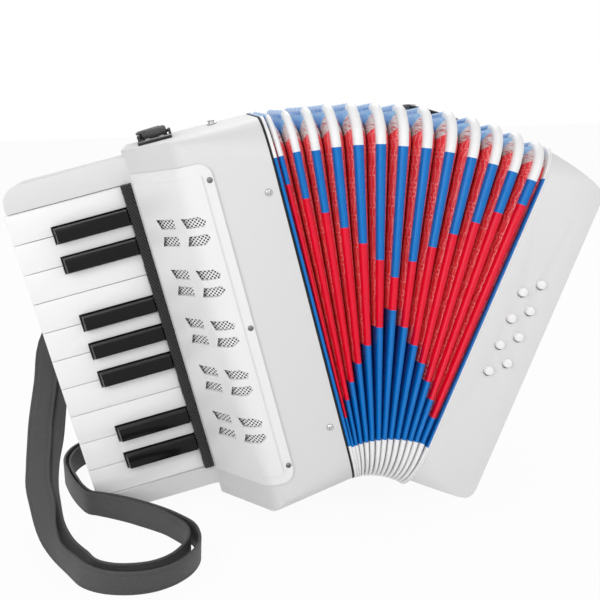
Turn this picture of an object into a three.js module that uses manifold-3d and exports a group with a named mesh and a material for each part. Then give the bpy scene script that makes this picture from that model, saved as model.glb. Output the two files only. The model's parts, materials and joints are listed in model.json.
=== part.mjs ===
// A toy piano accordion, standing open like a fan on its keyboard end and its bass end.
// Lengths are in millimetres. Each piece is drawn where it stands with the bellows closed:
// X runs from the keyboard to the bass end, Y from the front to the back, Z up the keyboard.
// The bellows ribs and the bass end are then turned open about a line below the bellows.
import * as THREE from 'three';
import { mergeVertices } from 'three/addons/utils/BufferGeometryUtils.js';
import Module from 'manifold-3d';

const kernel = await Module();
kernel.setup();

// Driving sizes: both casings
const casingHeight = 257;
const casingDepth = 150;
const cornerRadius = 28;
const farCornerRadius = 8;
const wall = 3;
const gap = 0.3;
const overrun = 6;

// Driving sizes: treble casing
const trebleWidth = 92;
const frontFlat = 55;
const creaseReach = 9;
const keyboardDrop = 63;
const slabDepth = 37;
const frameReach = 177.5;
const frameLow = 8;
const frameHeadDrop = 4.4;
const frameCorner = 13;
const coveReach = 5;
const wellBottom = 22;
const wellHeadDrop = 22.5;
const sideWallDrop = 16;

// Driving sizes: keys
const whiteKeyCount = 10;
const keyOverhang = 2.5;
const keyDrop = 2;
const keyThickness = 7;
const keyWall = 1.8;
const keyPlay = 0.5;
const keyLip = 1.6;
const blackKeyLength = 52.5;
const blackKeyWidth = 11;
const blackKeyRise = 7;
const blackKeyDraft = 0.9;
const blackKeySlant = 2.5;
const blackKeyPlay = 0.8;
const axleRadius = 1.5;
const axleOut = 95;
const axleDrop = 9;
const axleSeat = 8;
const hubRadius = 4;
const hubHalfWidth = 3.9;
const armThickness = 3.4;
const armHalfWidth = 2.3;
const palletThickness = 2.6;
const palletLength = 15;
const palletHalfWidth = 7;
const whitePalletOut = 77;
const blackPalletOut = 55;
const boardDrop = 86;
const boardThickness = 3;
const feltWidth = 6.4;
const feltThickness = 5;
const bedThickness = 3;
const stopRailWidth = 7;
const keyTravelDegrees = 2.8;

// Driving sizes: grille cover
const coverRight = 38;
const coverMiddle = 131;
const coverHeight = 219;
const coverSlopeReach = 66;
const coverCorner = 9;
const coverRim = 2;
const coverRise = 1.4;
const coverBorder = 7;
const coverWall = 2;
const meshThickness = 0.6;
const grilleRowCount = 5;
const grilleRowPitch = 34.4;
const grilleHoleHeight = 6.6;
const grilleBridge = 5;
const grilleInnerLeft = 81;
const grilleInnerRight = 69.6;
const grilleOuterLeft = 64.6;
const grilleOuterRight = 49.4;
const grilleSlant = 4.5;
const windowMargin = 3;

// Driving sizes: reed blocks
const reedBlockWidth = 16;
const reedBlockShare = 0.586;
const reedBlockMargin = 30;
const reedSlotWidth = 10;
const reedSlotLength = 11;
const reedSlotShare = 0.7;

// Driving sizes: bellows
const ribCount = 13;
const ribPitch = 3.6;
const ribThickness = 3.2;
const ribFootThickness = 1.7;
const ribFootHeight = 45;
const ribDepth = 5;
const bellowsProud = 0.4;
const foldDepth = 14;
const foldWall = 0.55;
const gasketThickness = 0.8;
const gasketDepth = 6;
const flangeThickness = 2.2;
const flangeDepth = 8;
const cornerSteps = 5;

// Driving sizes: how far the bellows stands open
const fanCentreDrop = 43;
const fanCentreOut = 4.8;
const fanTwistDegrees = 11.3;
const firstRibDegrees = 0.9;
const ribStepDegrees = 2.98;
const lastStepDegrees = 2.95;

// Driving sizes: bass end
const bassWidth = 42.3;
const bassHeadDrop = 3.5;
const bassHeadTaper = 12.5;
const bassFootRise = 6;
const bassFootTaper = 4.5;
const bassCorner = 9;
const buttonRadius = 3.1;
const buttonRise = 4;
const buttonTravel = 3;
const buttonPlay = 0.35;
const buttonRowPitch = 19.4;
const buttonColumnPitch = 10.1;
const buttonInset = 16;
const buttonFlange = 1.3;
const buttonStemRadius = 1.4;
const buttonStemLength = 18;
const buttonRows = 4;
const buttonMiddle = 131;
const airButtonRadius = 5;
const airButtonInset = 41;
const handStrapWidth = 44;
const handStrapThickness = 2.4;
const handStrapBulge = 22;
const handStrapMargin = 36;
const handStrapFoot = 12;

// Driving sizes: straps and fittings
const bracketWidth = 23.5;
const bracketLength = 28;
const bracketPlate = 1.8;
const bracketEar = 1.8;
const bracketBarRadius = 1.1;
const bracketBarHeight = 4.3;
const bracketOut = 68;
const upperBracketBack = 90;
const lowerBracketHeight = 23;
const studRadius = 4;
const studHeight = 3.4;
const studOut = 27;
const studBack = 100;
const strapWidth = 17.5;
const strapThickness = 2;
const strapSteps = 2;
const closureStrapWidth = 24;
const closureStrapThickness = 1.8;
const closureStrapRibs = 6;
const backCoverMargin = 38;
const ventCount = 4;
const ventWidth = 3;
const ventShare = 0.42;
const ventPitch = 9;

const colours = {
  casing: 0xe4e4e6,
  cover: 0xf2f2f3,
  whiteKey: 0xeeeeef,
  blackKey: 0x161617,
  felt: 0x222223,
  mesh: 0x9a9a9c,
  steel: 0x8f9196,
  wood: 0xb98d5a,
  gasket: 0x0d0d0e,
  rib: 0xd2122f,
  ribCentre: 0x0a6fc8,
  paper: 0xb02535,
  leather: 0x343434,
  bracket: 0x151515,
};

// Values worked out from the driving sizes
const radians = THREE.MathUtils.degToRad;
const midHeight = casingHeight / 2;
const frameHigh = casingHeight - frameHeadDrop;
const wellTop = casingHeight - wellHeadDrop;
const keyPitch = (wellTop - wellBottom) / whiteKeyCount;
const keyReach = frameReach + keyOverhang;
const reedBlockDepth = (casingDepth - boardDrop - boardThickness - wall) * reedBlockShare;
const reedSlotDepth = reedBlockDepth * reedSlotShare;
const keyFace = keyboardDrop + keyDrop;
const keyBack = keyFace + keyThickness;
const axleBack = keyboardDrop + axleDrop;
const slabBack = keyboardDrop + slabDepth;
const gasketFar = gap + gasketThickness;
const flangeNear = gasketFar + gap;
const flangeFar = flangeNear + flangeThickness;
const firstRibPlane = flangeFar + gap + ribThickness / 2;
const lastRibPlane = firstRibPlane + (ribCount - 1) * ribPitch;
const bassFlangePlane = lastRibPlane + (ribThickness + flangeThickness) / 2 + gap * 2;
const bassFace = bassFlangePlane + flangeThickness / 2 + gap;
const bassEnd = bassFace + bassWidth;
const bassHead = casingHeight - bassHeadDrop;
const bassAngle = firstRibDegrees + (ribCount - 1) * ribStepDegrees + lastStepDegrees;
const fanCentre = new THREE.Vector3(fanCentreOut, 0, -fanCentreDrop);
const fanAxis = new THREE.Vector3(-Math.sin(radians(fanTwistDegrees)), Math.cos(radians(fanTwistDegrees)), 0);
const slopeLength = Math.hypot(trebleWidth - frontFlat, keyboardDrop);
const creaseSlope = new THREE.Vector2(frontFlat - trebleWidth, keyboardDrop).normalize();
const creaseNormal = new THREE.Vector2(-creaseSlope.y, creaseSlope.x);

// Turns a closed geometry into a solid that can be cut and joined.
function solid(geometry) {
  const bare = geometry.clone();
  bare.deleteAttribute('normal');
  bare.deleteAttribute('uv');
  const merged = mergeVertices(bare, 1e-4);
  const vertProperties = new Float32Array(merged.attributes.position.array);
  const triVerts = new Uint32Array(merged.index.array);
  return new kernel.Manifold(new kernel.Mesh({ numProp: 3, vertProperties, triVerts }));
}

// Turns a solid back into a geometry for a mesh.
function surface(shape) {
  const mesh = shape.getMesh();
  const geometry = new THREE.BufferGeometry();
  geometry.setAttribute('position', new THREE.BufferAttribute(new Float32Array(mesh.vertProperties), 3));
  geometry.setIndex(new THREE.BufferAttribute(new Uint32Array(mesh.triVerts), 1));
  geometry.computeVertexNormals();
  return geometry;
}

// A box between two corners.
function block([x0, x1], [y0, y1], [z0, z1]) {
  const box = new THREE.BoxGeometry(x1 - x0, y1 - y0, z1 - z0);
  return solid(box.translate((x0 + x1) / 2, (y0 + y1) / 2, (z0 + z1) / 2));
}

// An outline in X and Y, extruded up Z.
function riseAlongZ(outline, [z0, z1], curveSegments = 4) {
  const options = { depth: z1 - z0, bevelEnabled: false, curveSegments };
  return solid(new THREE.ExtrudeGeometry(outline, options).translate(0, 0, z0));
}

// An outline in Y and Z, extruded along X.
function runAlongX(outline, [x0, x1], curveSegments = 5) {
  const options = { depth: x1 - x0, bevelEnabled: false, curveSegments };
  const turn = new THREE.Matrix4().set(0, 0, 1, x0, 1, 0, 0, 0, 0, 1, 0, 0, 0, 0, 0, 1);
  return solid(new THREE.ExtrudeGeometry(outline, options).applyMatrix4(turn));
}

// An outline in X and Z, extruded back along Y.
function runAlongY(outline, [y0, y1], curveSegments = 4) {
  const options = { depth: y1 - y0, bevelEnabled: false, curveSegments };
  const turn = new THREE.Matrix4().set(1, 0, 0, 0, 0, 0, -1, y1, 0, 1, 0, 0, 0, 0, 0, 1);
  return solid(new THREE.ExtrudeGeometry(outline, options).applyMatrix4(turn));
}

// A rectangle with its own radius at each corner: low left, low right, high right, high left.
function roundedRectangle([x0, x1], [y0, y1], radii) {
  const [lowLeft, lowRight, highRight, highLeft] = radii;
  const shape = new THREE.Shape();
  const quarter = Math.PI / 2;
  const corner = (x, y, radius, start) => {
    if (radius > 0) shape.absarc(x, y, radius, start, start + quarter, false);
    else shape.lineTo(x, y);
  };
  shape.moveTo(x0 + lowLeft, y0);
  corner(x1 - lowRight, y0 + lowRight, lowRight, -quarter);
  corner(x1 - highRight, y1 - highRight, highRight, 0);
  corner(x0 + highLeft, y1 - highLeft, highLeft, quarter);
  corner(x0 + lowLeft, y0 + lowLeft, lowLeft, 2 * quarter);
  return shape;
}

// A closed outline through a list of points.
function polygon(points) {
  return new THREE.Shape(points.map(([x, y]) => new THREE.Vector2(x, y)));
}

// A round bar along Z.
function rod(radius, x, y, [z0, z1], sides = 10) {
  const bar = new THREE.CylinderGeometry(radius, radius, z1 - z0, sides).rotateX(Math.PI / 2);
  return solid(bar.translate(x, y, (z0 + z1) / 2));
}

// Faces between rings of equal length. The rings close on themselves, or are capped at both ends.
function loft(rings, closed) {
  const count = rings[0].length;
  const positions = rings.flat().flatMap((point) => [point.x, point.y, point.z]);
  const index = [];
  const spans = closed ? rings.length : rings.length - 1;
  for (let ring = 0; ring < spans; ring += 1) {
    const near = ring * count;
    const far = ((ring + 1) % rings.length) * count;
    for (let side = 0; side < count; side += 1) {
      const next = (side + 1) % count;
      index.push(near + side, near + next, far + next, near + side, far + next, far + side);
    }
  }
  if (!closed) {
    const last = (rings.length - 1) * count;
    for (let side = 1; side < count - 1; side += 1) {
      index.push(0, side + 1, side, last, last + side, last + side + 1);
    }
  }
  const geometry = new THREE.BufferGeometry();
  geometry.setAttribute('position', new THREE.BufferAttribute(new Float32Array(positions), 3));
  geometry.setIndex(signedVolume(positions, index) > 0 ? index : index.reverse());
  geometry.computeVertexNormals();
  return geometry;
}

// The volume inside a set of faces, negative where they face inwards.
function signedVolume(positions, index) {
  const corner = (entry) => new THREE.Vector3().fromArray(positions, index[entry] * 3);
  let sum = 0;
  for (let face = 0; face < index.length; face += 3) {
    sum += corner(face).dot(corner(face + 1).cross(corner(face + 2)));
  }
  return sum;
}

// The side view shared by both casings and the bellows: points round a rounded rectangle in Y and
// Z, drawn in or out by a distance.
function outlinePoints(cornerSize, out) {
  const radius = cornerSize + out;
  const quarter = Math.PI / 2;
  const centres = [
    [casingDepth - cornerSize, cornerSize, -quarter],
    [casingDepth - cornerSize, casingHeight - cornerSize, 0],
    [cornerSize, casingHeight - cornerSize, quarter],
    [cornerSize, cornerSize, quarter * 2],
  ];
  return centres.flatMap(([y, z, start]) => Array.from({ length: cornerSteps + 1 }, (_, step) => {
    const angle = start + (quarter * step) / cornerSteps;
    return new THREE.Vector2(y + radius * Math.cos(angle), z + radius * Math.sin(angle));
  }));
}

// A solid along X whose corners change from one radius to another between two places.
function sideSolid([x0, x1], [nearX, nearSize], [farX, farSize], out) {
  const places = [x0, nearX, farX, x1];
  const sizes = [nearSize, nearSize, farSize, farSize];
  const rings = places.map((x, order) => outlinePoints(sizes[order], out).map((point) => (
    new THREE.Vector3(x, point.x, point.y)
  )));
  return solid(loft(rings, false));
}

// Where the treble front's flat part meets its slope, on a surface drawn out by a distance.
function creasePoint(out) {
  const flatNormal = new THREE.Vector2(0, -1);
  const share = out / (1 + flatNormal.dot(creaseNormal));
  return new THREE.Vector2(-frontFlat, 0).addScaledVector(flatNormal.add(creaseNormal), share);
}

// A point down the slope of the treble front, measured from the crease.
function slopePoint(along, out) {
  return new THREE.Vector2(-frontFlat, 0).addScaledVector(creaseSlope, along).addScaledVector(creaseNormal, out);
}

// Follows the treble front from the flat part, round the crease and down the slope.
function traceFront(path, out, slopeEnd) {
  const crease = creasePoint(out);
  const turned = slopePoint(creaseReach, out);
  path.lineTo(creaseReach - frontFlat, -out);
  path.quadraticCurveTo(crease.x, crease.y, turned.x, turned.y);
  const end = slopePoint(slopeEnd, out);
  path.lineTo(end.x, end.y);
}

// A sheet that follows the treble front between two distances out from it.
function frontSheet([inner, outer], right, slopeEnd) {
  const shape = new THREE.Shape();
  shape.moveTo(-right, -outer);
  traceFront(shape, outer, slopeEnd);
  const back = new THREE.Shape();
  back.moveTo(-right, -inner);
  traceFront(back, inner, slopeEnd);
  back.getPoints(4).reverse().forEach((point) => shape.lineTo(point.x, point.y));
  return shape;
}

// The treble body, seen from above, drawn in or out by a distance.
function bodySolid(out, [x0, x1], back) {
  const slopeEnd = (-trebleWidth - out + frontFlat - creaseNormal.x * out) / creaseSlope.x;
  const end = slopePoint(slopeEnd, out);
  const shape = new THREE.Shape();
  shape.moveTo(x1, back);
  shape.lineTo(x1, -out);
  traceFront(shape, out, slopeEnd);
  shape.lineTo(end.x, back);
  const plan = riseAlongZ(shape, [-out, casingHeight + out]);
  const side = sideSolid([x0, x1 + 1], [-frontFlat, farCornerRadius], [0, cornerRadius], out);
  return plan.intersect(side);
}

// The keyboard's slab, the strips at its ends and the hollow at the joint with the sloped front.
function slabSolid() {
  const corners = [frameCorner, 0, 0, frameCorner];
  const front = [frameLow, frameHigh];
  const outline = roundedRectangle([-frameReach, -trebleWidth + wall], front, corners);
  const slab = runAlongY(outline, [keyboardDrop, slabBack]);
  const foot = slopePoint(slopeLength - coveReach, 0);
  const cove = new THREE.Shape();
  cove.moveTo(foot.x, foot.y);
  cove.quadraticCurveTo(-trebleWidth, keyboardDrop, -trebleWidth - coveReach, keyboardDrop);
  cove.lineTo(-trebleWidth - coveReach, keyboardDrop + wall);
  cove.lineTo(-trebleWidth + wall, keyboardDrop + wall);
  return slab.add(riseAlongZ(cove, front));
}

function trebleCasing() {
  const far = casingDepth;
  const well = [wellBottom - gap, wellTop + gap];
  const feltEdge = -trebleWidth + gap;
  const hollow = bodySolid(-wall, [-trebleWidth * 2, overrun], far - wall);
  const windowShape = (middle) => roundedRectangle(
    [-grilleInnerLeft - windowMargin, -grilleOuterRight + windowMargin],
    [middle - grilleHoleHeight - grilleBridge - windowMargin, middle + grilleHoleHeight + grilleBridge + windowMargin],
    [windowMargin, windowMargin, windowMargin, windowMargin],
  );
  const inside = [wall - frameReach, overrun - trebleWidth + wall];
  let casing = bodySolid(0, [-trebleWidth * 2, 0], far).add(slabSolid()).subtract(hollow);
  casing = casing.subtract(block([-keyReach - overrun, feltEdge], [0, keyFace + sideWallDrop - keyDrop], well));
  casing = casing.subtract(block(inside, [keyFace, slabBack - wall], well));
  for (let row = 0; row < grilleRowCount; row += 1) {
    const middle = coverMiddle + (row - (grilleRowCount - 1) / 2) * grilleRowPitch;
    casing = casing.subtract(runAlongY(windowShape(middle), [-overrun, keyboardDrop - wall]));
  }
  const opening = backCoverOpening();
  casing = casing.subtract(block(opening.x, [far - wall - overrun, far + overrun], opening.z));
  const bore = [wellBottom - axleSeat - gap, wellTop + axleSeat + gap];
  return casing.subtract(rod(axleRadius + gap, -axleOut, axleBack, bore));
}

function backCoverOpening() {
  return {
    x: [wall * 3 - trebleWidth, -wall * 3],
    z: [backCoverMargin, casingHeight - backCoverMargin],
  };
}

// A flat panel that drops into an opening, with a row of vent slots at each end.
function backPanel([x0, x1], [z0, z1], back) {
  const corner = wall;
  const outline = roundedRectangle([x0 + gap, x1 - gap], [z0 + gap, z1 - gap], [corner, corner, corner, corner]);
  const middle = (x0 + x1) / 2;
  const reach = ((x1 - x0) / 2) * ventShare;
  for (let slot = 0; slot < ventCount; slot += 1) {
    for (const [edge, side] of [[z0, 1], [z1, -1]]) {
      const level = edge + side * (ventPitch * (slot + 1) + ventPitch);
      const vent = roundedRectangle(
        [middle - reach, middle + reach],
        [level - ventWidth / 2, level + ventWidth / 2],
        [0, 0, 0, 0],
      );
      outline.holes.push(vent);
    }
  }
  return runAlongY(outline, [back - wall, back], 2);
}

function grilleCover() {
  const low = coverMiddle - coverHeight / 2;
  const high = coverMiddle + coverHeight / 2;
  const raised = coverRim + coverRise;
  const rim = riseAlongZ(frontSheet([-wall, coverRim], coverRight, coverSlopeReach), [low, high]);
  const panelEnd = coverSlopeReach - coverBorder / 2;
  const panelSheet = frontSheet([gap, raised], coverRight + coverBorder, panelEnd);
  const panel = riseAlongZ(panelSheet, [low + coverBorder, high - coverBorder]);
  const pocketSheet = frontSheet([-wall, raised - coverWall], coverRight + coverBorder, panelEnd - coverWall);
  const pocket = riseAlongZ(pocketSheet, [low + coverBorder, high - coverBorder]);
  const left = -trebleWidth - overrun;
  const face = roundedRectangle([left, -coverRight], [low, high], [0, coverCorner, coverCorner, 0]);
  let cover = rim.add(panel).intersect(runAlongY(face, [-overrun * 2, keyboardDrop]));
  cover = cover.subtract(bodySolid(gap, [-trebleWidth * 2, overrun], casingDepth)).subtract(pocket);
  for (let row = 0; row < grilleRowCount; row += 1) {
    const middle = coverMiddle + (row - (grilleRowCount - 1) / 2) * grilleRowPitch;
    for (const hole of grilleHoles(middle)) {
      cover = cover.subtract(runAlongY(hole, [-overrun * 2, keyboardDrop]));
    }
  }
  return cover;
}

// One row of four cut-outs: two short ones on the slope and two pointed ones round the crease.
function grilleHoles(middle) {
  const near = grilleBridge / 2;
  const far = near + grilleHoleHeight;
  const half = (near + far) / 2;
  return [1, -1].flatMap((side) => {
    const at = (level) => middle + side * level;
    const inner = [
      [-grilleInnerLeft + grilleSlant / 2, at(near)],
      [-grilleInnerRight, at(near)],
      [-grilleInnerRight, at(far)],
      [-grilleInnerLeft, at(far)],
    ];
    const outer = [
      [-grilleOuterLeft + grilleSlant / 2, at(near)],
      [-grilleOuterRight - grilleSlant / 3, at(near)],
      [-grilleOuterRight, at(half)],
      [-grilleOuterRight - grilleSlant, at(far)],
      [-grilleOuterLeft, at(far)],
    ];
    return [inner, outer].map((points) => polygon(side > 0 ? points : points.reverse()));
  });
}

function grilleMesh() {
  const low = coverMiddle - coverHeight / 2 + coverBorder + gap;
  const high = coverMiddle + coverHeight / 2 - coverBorder - gap;
  const end = coverSlopeReach - coverBorder / 2 - coverWall - gap;
  const sheet = frontSheet([gap, gap + meshThickness], coverRight + coverBorder + gap, end);
  return riseAlongZ(sheet, [low, high]);
}

// The hub, arm and pallet that every key has behind its touch plate.
function keyLever(middle, palletOut) {
  const hub = rod(hubRadius, -axleOut, axleBack, [middle - hubHalfWidth, middle + hubHalfWidth], 12);
  const palletFront = boardDrop - gap - palletThickness;
  const arm = polygon([
    [-axleOut, axleBack - hubRadius * 0.7],
    [-axleOut + hubRadius, axleBack],
    [-palletOut + palletLength / 2, palletFront - armThickness / 2],
    [-palletOut + palletLength / 2, palletFront + palletThickness / 2],
    [-palletOut - palletLength / 2, palletFront + palletThickness / 2],
    [-axleOut, axleBack + armThickness],
  ]);
  const pallet = block(
    [-palletOut - palletLength / 2, -palletOut + palletLength / 2],
    [palletFront, palletFront + palletThickness],
    [middle - palletHalfWidth, middle + palletHalfWidth],
  );
  return hub.add(riseAlongZ(arm, [middle - armHalfWidth, middle + armHalfWidth])).add(pallet);
}

// The lines between white keys that carry a black key, counted from the lowest key.
const blackKeyLines = [1, 2, 4, 5, 6, 8, 9];

function whiteKey(order) {
  const low = wellBottom + order * keyPitch + keyPlay / 2;
  const high = low + keyPitch - keyPlay;
  const middle = (low + high) / 2;
  const neck = -axleOut - hubRadius - gap;
  const profile = new THREE.Shape();
  profile.moveTo(neck, keyFace);
  profile.lineTo(neck, keyBack);
  profile.lineTo(-keyReach, keyBack);
  profile.lineTo(-keyReach, keyFace + keyLip);
  profile.quadraticCurveTo(-keyReach, keyFace, -keyReach + keyLip, keyFace);
  let key = riseAlongZ(profile, [low, high], 3);
  const hollow = [keyFace + keyWall, keyBack + overrun];
  key = key.subtract(block([-keyReach + keyWall, neck - keyWall], hollow, [low + keyWall, high - keyWall]));
  for (const line of [order, order + 1]) {
    if (!blackKeyLines.includes(line)) continue;
    const centre = wellBottom + line * keyPitch;
    const half = blackKeyWidth / 2 + blackKeyPlay;
    const left = -axleOut - hubRadius - blackKeyLength - blackKeyPlay;
    const outer = half + keyWall - blackKeyPlay / 4;
    const inwards = line === order ? [centre, centre + outer] : [centre - outer, centre];
    const edge = [Math.max(inwards[0], low), Math.min(inwards[1], high)];
    key = key.add(block([left - keyWall, neck], [keyFace, keyBack], edge));
    key = key.subtract(block([left, neck + overrun], [0, keyBack + overrun], [centre - half, centre + half]));
  }
  const bridge = block([neck - keyWall, -axleOut], [keyFace + gap, keyBack], [middle - hubHalfWidth, middle + hubHalfWidth]);
  key = key.add(bridge).add(keyLever(middle, whitePalletOut));
  return key.subtract(rod(axleRadius + gap, -axleOut, axleBack, [low, high]));
}

function blackKey(line) {
  const middle = wellBottom + line * keyPitch;
  const top = keyFace - blackKeyRise;
  const left = -axleOut - hubRadius - blackKeyLength;
  const right = -axleOut - hubRadius - gap;
  const half = blackKeyWidth / 2;
  const side = polygon([
    [left, keyBack],
    [left, keyFace - gap],
    [left + blackKeySlant, top],
    [right, top],
    [right, keyBack],
  ]);
  const draft = polygon([
    [top - overrun, middle - half + blackKeyDraft * 1.5],
    [top, middle - half + blackKeyDraft],
    [keyFace, middle - half],
    [keyBack + overrun, middle - half],
    [keyBack + overrun, middle + half],
    [keyFace, middle + half],
    [top, middle + half - blackKeyDraft],
    [top - overrun, middle + half - blackKeyDraft * 1.5],
  ]);
  const tapered = riseAlongZ(side, [middle - half, middle + half]).intersect(
    runAlongX(draft, [left - overrun, right + overrun]),
  );
  const hollow = block(
    [left + keyWall * 2, right - keyWall],
    [top + keyWall * 2, keyBack + overrun],
    [middle - half + keyWall, middle + half - keyWall],
  );
  const neck = [keyFace + gap, keyBack];
  const bridge = block([right - keyWall, -axleOut], neck, [middle - hubHalfWidth, middle + hubHalfWidth]);
  const key = tapered.subtract(hollow).add(bridge).add(keyLever(middle, blackPalletOut));
  return key.subtract(rod(axleRadius + gap, -axleOut, axleBack, [middle - half, middle + half]));
}

// The bed under the keys, with a rail that stops a pressed key near its free end.
function keyboardBed() {
  const inside = [wall + gap - frameReach, -axleOut - hubRadius * 2];
  const length = [wellBottom, wellTop];
  const plate = block(inside, [slabBack - wall - gap - bedThickness, slabBack - wall - gap], length);
  const travel = Math.tan(radians(keyTravelDegrees)) * (keyReach - axleOut);
  const rail = [inside[0] + stopRailWidth, inside[0] + stopRailWidth * 2];
  return plate.add(block(rail, [keyBack + travel + gap, slabBack - wall - gap - bedThickness / 2], length));
}

function feltStrip() {
  const left = -axleOut - hubRadius + gap;
  const front = keyFace - gap - feltThickness;
  return block([left, left + feltWidth], [front, keyFace - gap], [wellBottom, wellTop]);
}

// The board that the pallets close on, with its tone holes and the reed block behind it.
function trebleReedBlock() {
  const inside = [wall + gap, casingHeight - wall - gap];
  const plate = block([wall + gap - trebleWidth, -wall], [boardDrop, boardDrop + boardThickness], inside);
  const blockBack = boardDrop + boardThickness + reedBlockDepth;
  let board = plate;
  for (const out of [whitePalletOut, blackPalletOut]) {
    const across = [-out - reedBlockWidth / 2, -out + reedBlockWidth / 2];
    const length = [reedBlockMargin / 2, casingHeight - reedBlockMargin / 2];
    board = board.add(block(across, [boardDrop + boardThickness / 2, blockBack], length));
  }
  const slot = (middle, out) => block(
    [-out - reedSlotLength / 2, -out + reedSlotLength / 2],
    [boardDrop - overrun, boardDrop + reedSlotDepth],
    [middle - reedSlotWidth / 2, middle + reedSlotWidth / 2],
  );
  for (let order = 0; order < whiteKeyCount; order += 1) {
    board = board.subtract(slot(wellBottom + (order + 0.5) * keyPitch, whitePalletOut));
  }
  for (const line of blackKeyLines) {
    board = board.subtract(slot(wellBottom + line * keyPitch, blackPalletOut));
  }
  return board;
}

// The bellows' outline as points, drawn in from its outer edge.
function bellowsPoints(inset) {
  return outlinePoints(cornerRadius, bellowsProud - inset);
}

function bellowsRing(inset, x) {
  return bellowsPoints(inset).map((point) => new THREE.Vector3(x, point.x, point.y));
}

// A flat ring with square edges, such as a flange or a gasket.
function flatRing(depth, [x0, x1]) {
  return loft([bellowsRing(depth, x0), bellowsRing(0, x0), bellowsRing(0, x1), bellowsRing(depth, x1)], true);
}

// A rounded rib that caps one fold. It is thinner at the foot, where the open fan pinches.
function bellowsRib(planeX) {
  const half = ribThickness / 2;
  const shoulder = ribDepth / 3;
  const edge = ribDepth / 14;
  const section = [
    [ribDepth, -1],
    [shoulder, -1],
    [edge, -0.6],
    [0, 0],
    [edge, 0.6],
    [shoulder, 1],
    [ribDepth, 1],
  ];
  const rings = section.map(([inset, side]) => bellowsPoints(inset).map((point) => {
    const rise = THREE.MathUtils.clamp(point.y / ribFootHeight, 0, 1);
    const thickness = THREE.MathUtils.lerp(ribFootThickness / ribThickness, 1, rise);
    return new THREE.Vector3(planeX + side * half * thickness, point.x, point.y);
  }));
  return loft(rings, true);
}

// How a rib, or the bass end, moves from closed to open: its plane swings round the fan centre.
function openedBy(planeX, degrees) {
  const slide = fanAxis.clone().multiplyScalar(fanAxis.x * (planeX - fanCentre.x));
  const place = fanCentre.clone().add(slide);
  const turn = new THREE.Matrix4().makeRotationAxis(fanAxis, radians(degrees));
  const toCentre = new THREE.Matrix4().makeTranslation(-planeX, 0, -fanCentre.z);
  return new THREE.Matrix4().makeTranslation(place).multiply(turn).multiply(toCentre);
}

const ribPlanes = Array.from({ length: ribCount }, (_, order) => firstRibPlane + order * ribPitch);
const ribMotions = ribPlanes.map((plane, order) => openedBy(plane, firstRibDegrees + order * ribStepDegrees));
const bassMotion = openedBy(bassFlangePlane, bassAngle);

// The folded sleeve: a peak inside every rib, and a valley halfway between neighbours.
function bellowsPleats() {
  const still = new THREE.Matrix4();
  const stations = [
    { x: flangeFar + gap, motion: still },
    ...ribPlanes.map((x, order) => ({ x, motion: ribMotions[order] })),
    { x: bassFlangePlane - flangeThickness / 2 - gap, motion: bassMotion },
  ];
  const pointAt = (station, inset, side) => (
    bellowsRing(inset, station.x)[side].applyMatrix4(station.motion)
  );
  const sides = bellowsPoints(0).map((_, side) => side);
  const folds = stations.slice(1).map((far, order) => sides.map((side) => {
    const near = pointAt(stations[order], ribDepth, side);
    const half = near.distanceTo(pointAt(far, ribDepth, side)) / 2;
    return (foldWall * Math.hypot(half, foldDepth)) / half;
  }));
  const peakRing = (station, order, thick) => sides.map((side) => {
    const beside = [folds[order - 1], folds[order]].filter(Boolean).map((fold) => fold[side]);
    return pointAt(station, ribDepth + gap + thick * Math.max(...beside), side);
  });
  const valleyRing = (order, thick) => sides.map((side) => {
    const inset = ribDepth + foldDepth + thick * folds[order][side];
    return pointAt(stations[order], inset, side).lerp(pointAt(stations[order + 1], inset, side), 0.5);
  });
  const sheet = (thick) => stations.flatMap((station, order) => {
    const peak = peakRing(station, order, thick);
    return order === folds.length ? [peak] : [peak, valleyRing(order, thick)];
  });
  return loft([...sheet(0), ...sheet(1).reverse()], true);
}

// The bass end's outline from the front: full height at the bellows, tapering to the end.
function bassOutline(out) {
  const near = bassFace - (out < 0 ? overrun : 0);
  const far = bassEnd + out;
  const radius = bassCorner + out;
  const footAt = (x) => bassFootRise + (bassFootTaper * (x - bassFace)) / bassWidth - out;
  const headAt = (x) => bassHead - (bassHeadTaper * (x - bassFace)) / bassWidth + out;
  const shape = new THREE.Shape();
  shape.moveTo(near, footAt(near));
  shape.lineTo(far - radius, footAt(far - radius));
  shape.quadraticCurveTo(far, footAt(far), far, footAt(far) + radius);
  shape.lineTo(far, headAt(far) - radius);
  shape.quadraticCurveTo(far, headAt(far), far - radius, headAt(far - radius));
  shape.lineTo(near, headAt(near));
  return shape;
}

function bassSolid(out) {
  const near = [bassFace, cornerRadius];
  const far = [bassEnd, farCornerRadius];
  const side = sideSolid([bassFace - overrun * 2, bassEnd + overrun * 2], near, far, out);
  return runAlongY(bassOutline(out), [-out, casingDepth + out]).intersect(side);
}

function bassBackOpening() {
  return {
    x: [bassFace + wall * 2, bassEnd - wall * 2 - bassCorner / 2],
    z: [backCoverMargin + bassFootTaper, bassHead - backCoverMargin],
  };
}

// Where each bass button stands: two staggered columns of four.
function buttonPlaces() {
  const places = [];
  for (let column = 0; column < 2; column += 1) {
    for (let row = 0; row < buttonRows; row += 1) {
      const stagger = (column - 0.5) * buttonRowPitch / 2;
      const level = buttonMiddle + (row - (buttonRows - 1) / 2) * buttonRowPitch + stagger;
      places.push({ x: bassFace + buttonInset + column * buttonColumnPitch, z: level, column, row });
    }
  }
  return places;
}

const airButtonPlace = { y: airButtonInset, z: casingHeight - handStrapMargin - bassCorner * 2 };

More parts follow.
